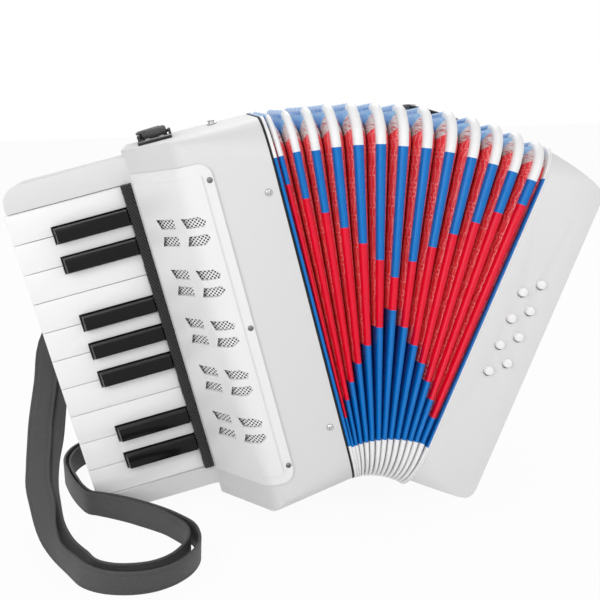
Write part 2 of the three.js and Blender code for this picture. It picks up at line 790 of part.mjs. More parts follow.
function bassCasing() {
  let casing = bassSolid(0).subtract(bassSolid(-wall));
  const bore = (x, z) => {
    const drill = new THREE.CylinderGeometry(buttonRadius + buttonPlay, buttonRadius + buttonPlay, wall + overrun, 14);
    return solid(drill.translate(x, wall / 2, z));
  };
  for (const place of buttonPlaces()) casing = casing.subtract(bore(place.x, place.z));
  const opening = bassBackOpening();
  casing = casing.subtract(block(opening.x, [casingDepth - wall - overrun, casingDepth + overrun], opening.z));
  const airBore = new THREE.CylinderGeometry(airButtonRadius + buttonPlay, airButtonRadius + buttonPlay, wall + overrun, 16);
  airBore.rotateZ(Math.PI / 2).translate(bassEnd - wall / 2, airButtonPlace.y, airButtonPlace.z);
  return casing.subtract(solid(airBore));
}

// A push button: domed cap, retaining flange behind the wall and a stem. It stands along Y.
function pushButton(radius, rise, stemLength) {
  const dome = radius / 4;
  const profile = [
    [0, -stemLength - wall],
    [buttonStemRadius, -stemLength - wall],
    [buttonStemRadius, -wall - gap - buttonFlange],
    [radius + buttonFlange, -wall - gap - buttonFlange],
    [radius + buttonFlange, -wall - gap],
    [radius, -wall - gap],
    [radius, rise - dome],
    [radius * 0.72, rise - dome / 4],
    [0, rise],
  ];
  const points = profile.map(([r, level]) => new THREE.Vector2(r, level));
  return new THREE.LatheGeometry(points, 12);
}

function bassReedBlock() {
  const inside = [bassFootRise + bassFootTaper + bassCorner, bassHead - bassHeadTaper - bassCorner];
  const near = bassFace + wall;
  const far = bassEnd - wall - gap;
  const front = wall + gap + buttonStemLength + buttonTravel + wall;
  let board = block([near, far], [front, front + boardThickness], inside);
  const across = [near + wall, near + wall + reedBlockWidth];
  const depth = [front + boardThickness / 2, front + boardThickness + reedBlockDepth];
  board = board.add(block(across, depth, [reedBlockMargin, casingHeight - reedBlockMargin]));
  for (let order = 0; order < buttonRows * 2; order += 1) {
    const middle = buttonMiddle + (order - (buttonRows * 2 - 1) / 2) * keyPitch;
    const cut = [middle - reedSlotWidth / 2, middle + reedSlotWidth / 2];
    board = board.subtract(block([across[0] + keyWall, across[1] - keyWall], [front - overrun, front + reedSlotDepth], cut));
  }
  return board;
}

// A broad leather band bowed out from the end of the bass casing, with a foot at each end.
function handStrap() {
  const low = handStrapMargin;
  const high = casingHeight - handStrapMargin;
  const near = bassEnd + gap;
  const crown = near + handStrapBulge;
  const thick = handStrapThickness;
  const shape = new THREE.Shape();
  shape.moveTo(near, low);
  shape.lineTo(near + thick, low);
  shape.lineTo(near + thick, low + handStrapFoot);
  shape.bezierCurveTo(crown, low + handStrapFoot * 2, crown + thick, midHeight - handStrapFoot * 2, crown + thick, midHeight);
  shape.bezierCurveTo(crown + thick, midHeight + handStrapFoot * 2, crown, high - handStrapFoot * 2, near + thick, high - handStrapFoot);
  shape.lineTo(near + thick, high);
  shape.lineTo(near, high);
  shape.lineTo(near, high - handStrapFoot);
  shape.bezierCurveTo(crown - thick * 2, high - handStrapFoot * 2.2, crown, midHeight + handStrapFoot * 2, crown, midHeight);
  shape.bezierCurveTo(crown, midHeight - handStrapFoot * 2, crown - thick * 2, low + handStrapFoot * 2.2, near, low + handStrapFoot);
  const middle = casingDepth / 2 + handStrapWidth / 4;
  return runAlongY(shape, [middle - handStrapWidth / 2, middle + handStrapWidth / 2], 8);
}

// A base plate whose two ears reach past it to a bar. Its bar lies along X, clear of the plate.
function strapBracket() {
  const half = bracketWidth / 2;
  const reach = bracketBarHeight + bracketPlate;
  const plate = block([-half, half], [-bracketLength, -reach], [gap, gap + bracketPlate]);
  const ear = (x) => {
    const rise = bracketBarHeight + bracketEar;
    const outline = roundedRectangle([-reach * 2, bracketEar], [gap, rise], [0, 0, bracketEar, reach / 2]);
    return runAlongX(outline, [x, x + bracketEar], 3);
  };
  const bar = new THREE.CylinderGeometry(bracketBarRadius, bracketBarRadius, bracketWidth - gap, 10);
  bar.rotateZ(Math.PI / 2).translate(0, 0, bracketBarHeight);
  return plate.add(ear(-half)).add(ear(half - bracketEar)).add(solid(bar));
}

// The stud that the closure strap snaps onto.
function snapStud() {
  const neck = studRadius * 0.55;
  const points = [
    [0, gap],
    [studRadius, gap],
    [studRadius, studHeight * 0.3],
    [neck, studHeight * 0.4],
    [neck, studHeight * 0.65],
    [studRadius * 0.8, studHeight * 0.8],
    [studRadius * 0.6, studHeight],
    [0, studHeight],
  ];
  return new THREE.LatheGeometry(points.map(([r, level]) => new THREE.Vector2(r, level)), 14).rotateX(Math.PI / 2);
}

// The closure strap lies loose from the bass end over the back corner of the last ribs.
function closureStrap() {
  const low = casingHeight + bellowsProud + gap;
  const ring = (x, drop, motion) => {
    const y0 = studBack - closureStrapWidth / 2;
    const y1 = studBack + closureStrapWidth / 2;
    const corners = [[y0, 0], [y1, 0], [y1, closureStrapThickness], [y0, closureStrapThickness]];
    return corners.map(([y, z]) => new THREE.Vector3(x, y, low + z - drop).applyMatrix4(motion));
  };
  const first = ribCount - closureStrapRibs;
  const rings = ribPlanes.slice(first).map((x, order) => ring(x, 0, ribMotions[first + order]));
  const anchor = bassFace + bassWidth / 2;
  rings.push(ring(bassFlangePlane, 0, bassMotion));
  rings.push(ring(bassFace, 0, bassMotion));
  rings.push(ring(anchor, bassHeadDrop + bassHeadTaper / 2 + bellowsProud / 2, bassMotion));
  return loft(rings, false);
}

// The shoulder strap is one closed band: an outer ply and an inner ply that meet round two bars.
// Each row holds a place, as shares of the casing height from the keyboard's foot on the table, and
// then the direction across the band.
const strapOuterShares = [
  [[0.176, 0.412, 1.0513], [0.973, 0, 0.233]],
  [[0.176, 0.498, 1.0488], [0.973, 0, 0.233]],
  [[0.175, 0.568, 1.0469], [0.973, 0, 0.233]],
  [[0.177, 0.596, 1.0246], [1, 0, 0.15]],
  [[0.175, 0.607, 0.9821], [1, 0, 0.15]],
  [[0.107, 0.631, 0.8911], [1, 0, 0.08]],
  [[0.056, 0.633, 0.8016], [1, 0, 0.08]],
  [[-0.01, 0.609, 0.6926], [1, 0, 0.08]],
  [[-0.072, 0.563, 0.5759], [1, 0, 0.08]],
  [[-0.149, 0.489, 0.4356], [1, 0, 0.02]],
  [[-0.158, 0.419, 0.3473], [1, 0, 0.02]],
  [[-0.169, 0.333, 0.2556], [1, 0, 0.02]],
  [[-0.169, 0.275, 0.2091], [1, 0, 0.02]],
  [[-0.167, 0.212, 0.1746], [0.97, -0.1, 0.15]],
  [[-0.16, 0.139, 0.1431], [0.97, -0.1, 0.15]],
  [[-0.141, 0.065, 0.1143], [0.95, -0.15, 0.2]],
  [[-0.123, -0.005, 0.072], [0.7, -0.45, 0.5]],
  [[-0.094, -0.064, 0.0447], [0.45, -0.6, 0.62]],
  [[-0.056, -0.122, 0.0339], [0.3, -0.42, 0.83]],
  [[-0.02, -0.179, 0.0339], [0.3, -0.3, 0.9]],
  [[0.029, -0.219, 0.0342], [0.15, -0.22, 0.96]],
  [[0.093, -0.238, 0.0342], [0.02, -0.22, 0.97]],
  [[0.15, -0.233, 0.0342], [0, -0.25, 0.96]],
  [[0.201, -0.205, 0.0342], [0, -0.28, 0.95]],
  [[0.235, -0.164, 0.0342], [0, -0.28, 0.95]],
  [[0.256, -0.11, 0.0342], [0.05, -0.2, 0.97]],
  [[0.257, -0.058, 0.0342], [0.05, -0.1, 0.99]],
  [[0.244, -0.007, 0.0342], [0.04, 0, 1]],
  [[0.212, 0.041, 0.0342], [0.02, 0.06, 1]],
  [[0.17, 0.09, 0.0342], [0.02, 0.08, 1]],
  [[0.083, 0.168, 0.0342], [0.02, 0.08, 1]],
  [[0.032, 0.206, 0.0342], [0, 0.04, 1]],
  [[-0.006, 0.228, 0.0342], [0, 0, 1]],
  [[-0.034, 0.244, 0.0342], [0, 0, 1]],
  [[-0.062, 0.292, 0.0342], [0, 0, 1]],
  [[-0.084, 0.353, 0.0342], [0, 0, 1]],
  [[-0.104, 0.417, 0.0342], [0, 0, 1]],
  [[-0.116, 0.475, 0.0342], [0, 0, 1]],
  [[-0.116, 0.522, 0.037], [0, 0, 1]],
  [[-0.1, 0.565, 0.0428], [0, 0, 1]],
  [[-0.059, 0.594, 0.0545], [0, 0, 1]],
  [[0.036, 0.611, 0.0778], [-0.1, 0, 1]],
  [[0.161, 0.604, 0.1012], [-0.2, 0, 1]],
  [[0.262, 0.596, 0.1206], [-0.22, 0, 1]],
];

const strapInnerShares = [
  [[0.179, 0.412, 1.0388], [0.973, 0, 0.233]],
  [[0.178, 0.498, 1.0385], [0.973, 0, 0.233]],
  [[0.177, 0.556, 1.0382], [0.973, 0, 0.233]],
  [[0.178, 0.582, 1.0221], [1, 0, 0.15]],
  [[0.178, 0.593, 0.9868], [1, 0, 0.15]],
  [[0.114, 0.615, 0.8872], [1, 0, 0.08]],
  [[0.072, 0.617, 0.7938], [1, 0, 0.08]],
  [[0.013, 0.598, 0.6848], [1, 0, 0.08]],
  [[-0.045, 0.563, 0.572], [1, 0, 0.08]],
  [[-0.121, 0.505, 0.4356], [1, 0, 0.02]],
  [[-0.129, 0.435, 0.3473], [1, 0, 0.02]],
  [[-0.135, 0.349, 0.2556], [1, 0, 0.02]],
  [[-0.138, 0.291, 0.2091], [1, 0, 0.02]],
  [[-0.142, 0.229, 0.1746], [0.97, -0.1, 0.15]],
  [[-0.141, 0.155, 0.1431], [0.97, -0.1, 0.15]],
  [[-0.13, 0.081, 0.1143], [0.95, -0.15, 0.2]],
  [[-0.104, 0.014, 0.0681], [0.7, -0.45, 0.5]],
  [[-0.068, -0.046, 0.0467], [0.45, -0.55, 0.62]],
  [[-0.027, -0.105, 0.0342], [0.25, -0.35, 0.9]],
  [[0.003, -0.159, 0.0342], [0.2, -0.2, 0.95]],
  [[0.043, -0.187, 0.0342], [0.1, -0.15, 0.98]],
  [[0.093, -0.198, 0.0342], [0, -0.15, 0.98]],
  [[0.143, -0.194, 0.0342], [0, -0.15, 0.98]],
  [[0.184, -0.17, 0.0342], [0, -0.15, 0.98]],
  [[0.211, -0.134, 0.0342], [0, -0.15, 0.98]],
  [[0.228, -0.091, 0.0342], [0.02, -0.12, 0.98]],
  [[0.233, -0.048, 0.0342], [0.02, -0.06, 1]],
  [[0.222, -0.007, 0.0342], [0.02, 0, 1]],
  [[0.198, 0.033, 0.0342], [0.02, 0.04, 1]],
  [[0.162, 0.081, 0.0342], [0.02, 0.08, 1]],
  [[0.076, 0.158, 0.0342], [0.02, 0.08, 1]],
  [[0.023, 0.196, 0.0342], [0, 0.04, 1]],
  [[-0.015, 0.22, 0.0342], [0, 0, 1]],
  [[-0.044, 0.237, 0.0342], [0, 0, 1]],
  [[-0.072, 0.287, 0.0342], [0, 0, 1]],
  [[-0.097, 0.349, 0.0342], [0, 0, 1]],
  [[-0.117, 0.413, 0.0342], [0, 0, 1]],
  [[-0.132, 0.475, 0.0342], [0, 0, 1]],
  [[-0.134, 0.528, 0.037], [0, 0, 1]],
  [[-0.117, 0.578, 0.0428], [0, 0, 1]],
  [[-0.069, 0.612, 0.0545], [0, 0, 1]],
  [[0.035, 0.629, 0.0778], [-0.1, 0, 1]],
  [[0.161, 0.621, 0.1012], [-0.2, 0, 1]],
  [[0.262, 0.611, 0.1206], [-0.22, 0, 1]],
];

// Points round half of a bar, for a band that doubles back there.
function roundBar(bar, reach, [first, middle, last], side) {
  return [first, middle, last].map((direction) => (
    [direction.clone().multiplyScalar(reach).add(bar), side.clone()]
  ));
}

// A closed flat band swept along a route. Each station keeps its own direction across the band.
function sweepBand(route) {
  const path = new THREE.CatmullRomCurve3(route.map(([place]) => place), true, 'centripetal');
  const sides = new THREE.CatmullRomCurve3(route.map(([, side]) => side), true, 'centripetal');
  const halfWidth = strapWidth / 2;
  const halfThick = strapThickness / 2;
  const section = [[-1, -1], [1, -1], [1, 1], [-1, 1]];
  const count = route.length * strapSteps;
  const rings = Array.from({ length: count }, (_, step) => {
    const tangent = path.getTangent(step / count);
    const side = sides.getPoint(step / count);
    side.addScaledVector(tangent, -side.dot(tangent)).normalize();
    const normal = new THREE.Vector3().crossVectors(tangent, side);
    const centre = path.getPoint(step / count);
    const reach = halfWidth * Math.abs(side.z) + halfThick * Math.abs(normal.z);
    centre.z = Math.max(centre.z, reach);
    return section.map(([across, out]) => centre.clone()
      .addScaledVector(side, across * halfWidth)
      .addScaledVector(normal, out * halfThick));
  });
  return loft(rings, true);
}

// Names one sub-part, gives it its material and hangs it in a group.
function addPiece(group, name, shape, colour, roughness = 0.35, metalness = 0) {
  const geometry = shape.isBufferGeometry ? shape : surface(shape);
  const mesh = new THREE.Mesh(geometry, new THREE.MeshStandardMaterial({ color: colour, roughness, metalness }));
  mesh.name = name;
  group.add(mesh);
  return mesh;
}

const treble = new THREE.Group();
const trebleShell = addPiece(treble, 'treble_casing', trebleCasing(), colours.casing, 0.25);
const trebleOpening = backCoverOpening();
addPiece(treble, 'treble_back_cover', backPanel(trebleOpening.x, trebleOpening.z, casingDepth), colours.casing);
addPiece(treble, 'grille_cover', grilleCover(), colours.cover, 0.25);
addPiece(treble, 'grille_mesh', grilleMesh(), colours.mesh, 0.4, 0.9);
addPiece(treble, 'keyboard_bed', keyboardBed(), colours.wood, 0.7);
const axleSpan = [wellBottom - axleSeat, wellTop + axleSeat];
addPiece(treble, 'key_axle', rod(axleRadius, -axleOut, axleBack, axleSpan), colours.steel, 0.3, 1);
addPiece(treble, 'key_felt_strip', feltStrip(), colours.felt, 0.95);
addPiece(treble, 'treble_reed_block', trebleReedBlock(), colours.wood, 0.7);
addPiece(treble, 'bellows_gasket', flatRing(gasketDepth, [gap, gasketFar]), colours.gasket, 0.8);
addPiece(treble, 'bellows_flange_treble', flatRing(flangeDepth, [flangeNear, flangeFar]), colours.cover, 0.3);
addPiece(treble, 'bellows_pleats', bellowsPleats(), colours.paper, 0.6);

for (let order = 0; order < whiteKeyCount; order += 1) {
  addPiece(treble, `white_key_${String(order + 1).padStart(2, '0')}`, whiteKey(order), colours.whiteKey, 0.15);
}
blackKeyLines.forEach((line, order) => {
  addPiece(treble, `black_key_${order + 1}`, blackKey(line), colours.blackKey, 0.12);
});

const upperBracket = addPiece(treble, 'strap_bracket_upper', strapBracket(), colours.bracket, 0.4);
upperBracket.position.set(-bracketOut, upperBracketBack, casingHeight);
const lowerBracket = addPiece(treble, 'strap_bracket_lower', strapBracket(), colours.bracket, 0.4);
lowerBracket.quaternion.setFromRotationMatrix(new THREE.Matrix4().makeBasis(
  new THREE.Vector3(0, 0, -1),
  new THREE.Vector3(-1, 0, 0),
  new THREE.Vector3(0, 1, 0),
));
lowerBracket.position.set(-bracketOut - bracketLength / 2, casingDepth, lowerBracketHeight);
const stud = addPiece(treble, 'snap_stud', snapStud(), colours.steel, 0.2, 1);
stud.position.set(-studOut, studBack, casingHeight);

const ribGroups = ribPlanes.map((plane, order) => {
  const group = new THREE.Group();
  const name = `bellows_rib_${String(order + 1).padStart(2, '0')}`;
  const colour = order === (ribCount - 1) / 2 ? colours.ribCentre : colours.rib;
  addPiece(group, name, bellowsRib(plane), colour, 0.2);
  ribMotions[order].decompose(group.position, group.quaternion, group.scale);
  return group;
});

const bass = new THREE.Group();
const bassShell = addPiece(bass, 'bass_casing', bassCasing(), colours.casing, 0.25);
const bassOpening = bassBackOpening();
addPiece(bass, 'bass_back_cover', backPanel(bassOpening.x, bassOpening.z, casingDepth), colours.casing);
const bassFlange = [bassFlangePlane - flangeThickness / 2, bassFlangePlane + flangeThickness / 2];
addPiece(bass, 'bellows_flange_bass', flatRing(flangeDepth, bassFlange), colours.cover, 0.3);
addPiece(bass, 'bass_reed_block', bassReedBlock(), colours.wood, 0.7);
for (const place of buttonPlaces()) {
  const letter = place.column === 0 ? 'a' : 'b';
  const cap = pushButton(buttonRadius, buttonRise, buttonStemLength);
  const button = addPiece(bass, `bass_button_${letter}${place.row + 1}`, cap, colours.cover, 0.2);
  button.rotation.x = Math.PI;
  button.position.set(place.x, 0, place.z);
}
const airCap = pushButton(airButtonRadius, buttonRise, wall + buttonTravel * 2);
const airButton = addPiece(bass, 'air_button', airCap, colours.cover, 0.2);
airButton.rotation.z = -Math.PI / 2;
airButton.position.set(bassEnd, airButtonPlace.y, airButtonPlace.z);
addPiece(bass, 'hand_strap', handStrap(), colours.leather, 0.7);
bassMotion.decompose(bass.position, bass.quaternion, bass.scale);

const strapOver = new THREE.Group();
addPiece(strapOver, 'closure_strap', closureStrap(), colours.bracket, 0.7);

const instrument = new THREE.Group();
instrument.add(treble, ...ribGroups, bass, strapOver);

// The lowest point of a piece once the whole instrument leans by an angle.
function lowestPoint(mesh, lean) {
  instrument.rotation.y = -lean;
  instrument.updateMatrixWorld(true);
  return new THREE.Box3().setFromObject(mesh, true).min.z;
}

// The lean at which the keyboard end and the bass end both touch the table.
function restingLean() {
  let low = 0;
  let high = Math.PI / 6;
  for (let halving = 0; halving < 24; halving += 1) {
    const middle = (low + high) / 2;
    if (lowestPoint(trebleShell, middle) > lowestPoint(bassShell, middle)) low = middle;
    else high = middle;
  }
  return (low + high) / 2;
}

const lean = restingLean();
instrument.position.z = -lowestPoint(trebleShell, lean);
instrument.updateMatrixWorld(true);

const trebleFoot = new THREE.Vector3(-frameReach, 0, frameLow).applyMatrix4(instrument.matrixWorld);
const towards = (x, y, z) => new THREE.Vector3(x, y, z).transformDirection(instrument.matrixWorld);
const barOf = (bracket) => new THREE.Vector3(0, 0, bracketBarHeight).applyMatrix4(bracket.matrixWorld);
const barReach = bracketBarRadius + strapThickness / 2 + gap * 2;
const upperTurn = roundBar(
  barOf(upperBracket),
  barReach,
  [towards(0, 0, -1), towards(0, -1, 0), towards(0, 0, 1)],
  towards(1, 0, 0),
);
const lowerTurn = roundBar(
  barOf(lowerBracket),
  barReach,
  [towards(0, -1, 0), towards(1, 0, 0), towards(0, 1, 0)],
  towards(0, 0, 1),
);
const onTable = ([[x, y, z], side]) => [
  new THREE.Vector3(trebleFoot.x + x * casingHeight, y * casingHeight, z * casingHeight),
  new THREE.Vector3(...side).normalize(),
];
const strapRoute = [
  ...upperTurn,
  ...strapOuterShares.map(onTable),
  ...lowerTurn,
  ...strapInnerShares.map(onTable).reverse(),
];
const strapBand = sweepBand(strapRoute);

const accordion = new THREE.Group();
accordion.add(instrument);
addPiece(accordion, 'shoulder_strap', strapBand, colours.leather, 0.7);
accordion.updateMatrixWorld(true);
const box = new THREE.Box3().setFromObject(accordion, true);
accordion.position.set(-(box.min.x + box.max.x) / 2, -(box.min.y + box.max.y) / 2, -box.min.z);

export default accordion;
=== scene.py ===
"""Dresses a small piano accordion: white shells, keyboard, fanned bellows, grille, straps and fittings.

Lengths in the classes are millimetres in the frame of the piece that they belong to. A Place turns
them into metres in the frame that every body shares.
"""

import json
import logging
import math
from dataclasses import dataclass, field
from enum import Enum, IntEnum
from typing import Any, Callable, Iterable, Optional, Sequence, Union

import bpy
import bmesh
from mathutils import Matrix, Vector


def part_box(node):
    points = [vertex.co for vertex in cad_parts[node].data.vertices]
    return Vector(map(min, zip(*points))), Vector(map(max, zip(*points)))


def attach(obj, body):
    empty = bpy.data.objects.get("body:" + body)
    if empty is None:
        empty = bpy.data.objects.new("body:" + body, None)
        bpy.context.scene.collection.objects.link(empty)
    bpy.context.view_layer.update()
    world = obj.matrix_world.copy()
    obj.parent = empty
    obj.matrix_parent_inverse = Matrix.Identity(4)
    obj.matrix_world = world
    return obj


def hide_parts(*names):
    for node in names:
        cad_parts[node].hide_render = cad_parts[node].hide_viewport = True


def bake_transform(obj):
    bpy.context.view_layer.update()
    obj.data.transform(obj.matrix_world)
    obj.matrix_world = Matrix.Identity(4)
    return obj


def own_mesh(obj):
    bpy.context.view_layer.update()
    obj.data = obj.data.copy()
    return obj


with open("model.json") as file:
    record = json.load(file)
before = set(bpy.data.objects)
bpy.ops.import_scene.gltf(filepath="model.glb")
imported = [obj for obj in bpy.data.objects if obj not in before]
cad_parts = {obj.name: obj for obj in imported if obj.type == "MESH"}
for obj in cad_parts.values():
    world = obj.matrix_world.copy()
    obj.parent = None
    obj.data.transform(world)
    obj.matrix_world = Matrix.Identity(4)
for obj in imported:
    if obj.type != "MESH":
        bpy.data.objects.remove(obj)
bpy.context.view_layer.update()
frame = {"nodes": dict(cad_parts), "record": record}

log = logging.getLogger("accordion")

MM = 0.001
FULL_TURN = 2.0 * math.pi

FIRST_KEY_PIVOT = (-95.0, 72.0, 32.625)
RIB_COUNT = 13
CASING_HEIGHT = 257.0
CASING_DEPTH = 150.0
CASING_LEAN = math.radians(12.92)

WHITE_LIGHT = (1.0, 1.0, 1.0, 1.0)
NOISE_LOW, NOISE_MIDDLE, NOISE_HIGH = 0.3, 0.5, 0.7

Colour = tuple[float, float, float, float]
Value = Union[float, Sequence[float], bpy.types.NodeSocket]
Sockets = tuple[tuple[str, str, Any], ...]


def srgb(red: float, green: float, blue: float) -> Colour:
    """Turns a colour in screen values from 0 to 255 into linear light.

    Args:
        red: Red on the screen.
        green: Green on the screen.
        blue: Blue on the screen.

    Returns:
        The linear colour with an opaque fourth value.
    """
    def linear(value: float) -> float:
        """Returns one channel in linear light."""
        share = value / 255.0
        return share / 12.92 if share <= 0.04045 else ((share + 0.055) / 1.055) ** 2.4

    return (linear(red), linear(green), linear(blue), 1.0)


def grey(level: float) -> Colour:
    """Returns a neutral colour of one screen level."""
    return srgb(level, level, level)


# Node building.


class Canvas:
    """Adds nodes to a tree and links them up."""

    def __init__(self, tree: bpy.types.NodeTree) -> None:
        """Keeps the tree that the nodes go into."""
        self.tree = tree

    def feed(self, socket: bpy.types.NodeSocket, value: Value) -> None:
        """Links a socket to another one, or sets its own value.

        Args:
            socket: The input to feed.
            value: An output socket, a number or a tuple of numbers.
        """
        if isinstance(value, bpy.types.NodeSocket):
            self.tree.links.new(value, socket)
        else:
            socket.default_value = value

    def add(self, kind: str, inputs: Optional[dict] = None, **settings: Any) -> bpy.types.Node:
        """Adds one node.

        Args:
            kind: The node's type name.
            inputs: Values or sockets by the name or number of the input.
            settings: The node's own settings.

        Returns:
            The new node.
        """
        node = self.tree.nodes.new(kind)
        for key, value in settings.items():
            setattr(node, key, value)
        for key, value in (inputs or {}).items():
            self.feed(node.inputs[key], value)
        return node

    def math(self, operation: str, *values: Value, clamp: bool = False) -> bpy.types.NodeSocket:
        """Returns the output of a Math node.

        Args:
            operation: The node's operation.
            values: One to three operands.
            clamp: Whether the result is kept from 0 to 1.
        """
        node = self.add("ShaderNodeMath", dict(enumerate(values)), operation=operation)
        node.use_clamp = clamp
        return node.outputs[0]

    def times(self, first: Value, second: Value, clamp: bool = False) -> bpy.types.NodeSocket:
        """Returns a product, kept from 0 to 1 where it is clamped."""
        return self.math("MULTIPLY", first, second, clamp=clamp)

    def plus(self, first: Value, second: Value, clamp: bool = False) -> bpy.types.NodeSocket:
        """Returns a sum, kept from 0 to 1 where it is clamped."""
        return self.math("ADD", first, second, clamp=clamp)

    def minus(self, first: Value, second: Value) -> bpy.types.NodeSocket:
        """Returns a difference."""
        return self.math("SUBTRACT", first, second)

    def density(self, size: Value) -> bpy.types.NodeSocket:
        """Returns how many cells of a size in metres fit into a metre."""
        return self.math("DIVIDE", 1.0, size)

    def vector_math(self, operation: str, *values: Value) -> bpy.types.Node:
        """Returns a Vector Math node, which has both a vector and a value output."""
        return self.add("ShaderNodeVectorMath", dict(enumerate(values)), operation=operation)

    def scaled(self, vector: Value, factor: Value) -> bpy.types.NodeSocket:
        """Returns a vector times a number."""
        node = self.add("ShaderNodeVectorMath", {0: vector, "Scale": factor}, operation="SCALE")
        return node.outputs[0]

    def mix(self, factor: Value, low: Value, high: Value, blend: str = "MIX") -> bpy.types.NodeSocket:
        """Returns a mix of two colours.

        Args:
            factor: The share of the second colour.
            low: The first colour.
            high: The second colour.
            blend: The blend mode.
        """
        node = self.add("ShaderNodeMix", {0: factor, 6: low, 7: high}, data_type="RGBA", blend_type=blend)
        return node.outputs[2]

    def remap(self, value: Value, low: float, high: float, start: float = 0.0,
              end: float = 1.0) -> bpy.types.NodeSocket:
        """Returns a value spread from one range to another, and kept inside it.

        Args:
            value: The value to spread.
            low: The low end of the first range.
            high: The high end of the first range.
            start: The low end of the new range.
            end: The high end of the new range.
        """
        names = {"Value": value, "From Min": low, "From Max": high, "To Min": start, "To Max": end}
        return self.add("ShaderNodeMapRange", names).outputs[0]

    def noise(self, place: Value, scale: Value, detail: float = 2.0,
              roughness: float = 0.5) -> bpy.types.NodeSocket:
        """Returns a smooth noise from about 0.3 to 0.7.

        Args:
            place: The vector that it reads.
            scale: Cells for each metre.
            detail: Octaves of finer noise.
            roughness: The share of the finer noise.
        """
        names = {"Vector": place, "Scale": scale, "Detail": detail, "Roughness": roughness}
        return self.add("ShaderNodeTexNoise", names).outputs[0]

    def spread(self, noise: Value, start: float, end: float) -> bpy.types.NodeSocket:
        """Returns a noise spread over a range."""
        return self.remap(noise, NOISE_LOW, NOISE_HIGH, start, end)

    def swing(self, noise: Value, amount: Value) -> bpy.types.NodeSocket:
        """Returns how far a noise is from its middle, times an amount."""
        return self.times(self.minus(noise, NOISE_MIDDLE), amount)

    def split(self, vector: Value) -> tuple[bpy.types.NodeSocket, ...]:
        """Returns the three parts of a vector."""
        return tuple(self.add("ShaderNodeSeparateXYZ", {0: vector}).outputs)

    def join(self, x: Value, y: Value, z: Value = 0.0) -> bpy.types.NodeSocket:
        """Returns a vector of three numbers."""
        return self.add("ShaderNodeCombineXYZ", {0: x, 1: y, 2: z}).outputs[0]

    def rest_position(self) -> bpy.types.NodeSocket:
        """Returns the place on the piece, which rides along with it."""
        return self.add("ShaderNodeTexCoord").outputs["Object"]

    def surface_place(self) -> bpy.types.NodeSocket:
        """Returns the place on the unrolled surface, in metres."""
        return self.add("ShaderNodeTexCoord").outputs["UV"]

    def seen(self) -> bpy.types.NodeSocket:
        """Returns 1 for rays from the camera, from mirrors and through clear pieces, and 0 for the others."""
        rays = self.add("ShaderNodeLightPath").outputs
        direct = self.plus(rays["Is Camera Ray"], rays["Is Transmission Ray"], clamp=True)
        return self.plus(direct, rays["Is Glossy Ray"], clamp=True)


class Effect:
    """A shader effect that is built once as a node group and placed in many materials."""

    name = ""
    inputs: Sockets = ()
    outputs: Sockets = ()

    @classmethod
    def tree(cls) -> bpy.types.NodeTree:
        """Returns the node group, built the first time."""
        found = bpy.data.node_groups.get(cls.name)
        if found is not None:
            return found
        tree = bpy.data.node_groups.new(cls.name, "ShaderNodeTree")
        for name, kind, value in cls.inputs:
            socket = tree.interface.new_socket(name, in_out="INPUT", socket_type=kind)
            if value is not None:
                socket.default_value = value
        for name, kind, _ in cls.outputs:
            tree.interface.new_socket(name, in_out="OUTPUT", socket_type=kind)
        canvas = Canvas(tree)
        source = {socket.name: socket for socket in canvas.add("NodeGroupInput").outputs}
        target = canvas.add("NodeGroupOutput")
        for name, value in cls.draw(canvas, source).items():
            canvas.feed(target.inputs[name], value)
        return tree

    @classmethod
    def draw(cls, canvas: Canvas, source: dict) -> dict:
        """Lays out the group's nodes.

        Args:
            canvas: Where the nodes go.
            source: The group's input sockets by name.

        Returns:
            The value for each named output.
        """
        raise NotImplementedError

    @classmethod
    def place(cls, canvas: Canvas, values: dict) -> dict:
        """Puts the group into a material, and feeds it the place on the piece where it reads one.

        Args:
            canvas: The material's canvas.
            values: Values or sockets by input name.

        Returns:
            The group's outputs by name.
        """
        node = canvas.add("ShaderNodeGroup", node_tree=cls.tree())
        if "Position" in node.inputs:
            canvas.feed(node.inputs["Position"], canvas.rest_position())
        for name, value in values.items():
            canvas.feed(node.inputs[name], value)
        return {socket.name: socket for socket in node.outputs}


FLOAT = "NodeSocketFloat"
VECTOR = "NodeSocketVector"
COLOUR = "NodeSocketColor"


class MouldedSurface(Effect):
    """The slow ripple and the fine grain of a moulded skin."""

    name = "moulded_surface"
    inputs = (("Position", VECTOR, None), ("Ripple Size", FLOAT, 0.03), ("Grain Size", FLOAT, 0.0006),
              ("Grain Share", FLOAT, 0.2), ("Roughness", FLOAT, 0.3), ("Spread", FLOAT, 0.1))
    outputs = (("Roughness", FLOAT, None), ("Height", FLOAT, None))

    @classmethod
    def draw(cls, canvas: Canvas, source: dict) -> dict:
        """Mixes a broad and a fine noise into a height, and lets the broad one move the gloss."""
        ripple = canvas.noise(source["Position"], canvas.density(source["Ripple Size"]), 1.0)
        grain = canvas.noise(source["Position"], canvas.density(source["Grain Size"]), 2.0)
        height = canvas.math("MULTIPLY_ADD", grain, source["Grain Share"], ripple)
        roughness = canvas.plus(source["Roughness"], canvas.swing(ripple, source["Spread"]), clamp=True)
        return {"Height": height, "Roughness": roughness}


class HandledTone(Effect):
    """A faint drift in how light a surface is."""

    name = "handled_tone"
    inputs = (("Colour", COLOUR, (0.8, 0.8, 0.8, 1.0)), ("Position", VECTOR, None), ("Size", FLOAT, 0.04),
              ("Amount", FLOAT, 0.05))
    outputs = (("Colour", COLOUR, None),)

    @classmethod
    def draw(cls, canvas: Canvas, source: dict) -> dict:
        """Scales the colour up and down with a noise."""
        drift = canvas.noise(source["Position"], canvas.density(source["Size"]), 3.0)
        level = canvas.plus(canvas.swing(drift, source["Amount"]), 1.0)
        tone = canvas.join(level, level, level)
        return {"Colour": canvas.mix(1.0, source["Colour"], tone, "MULTIPLY")}


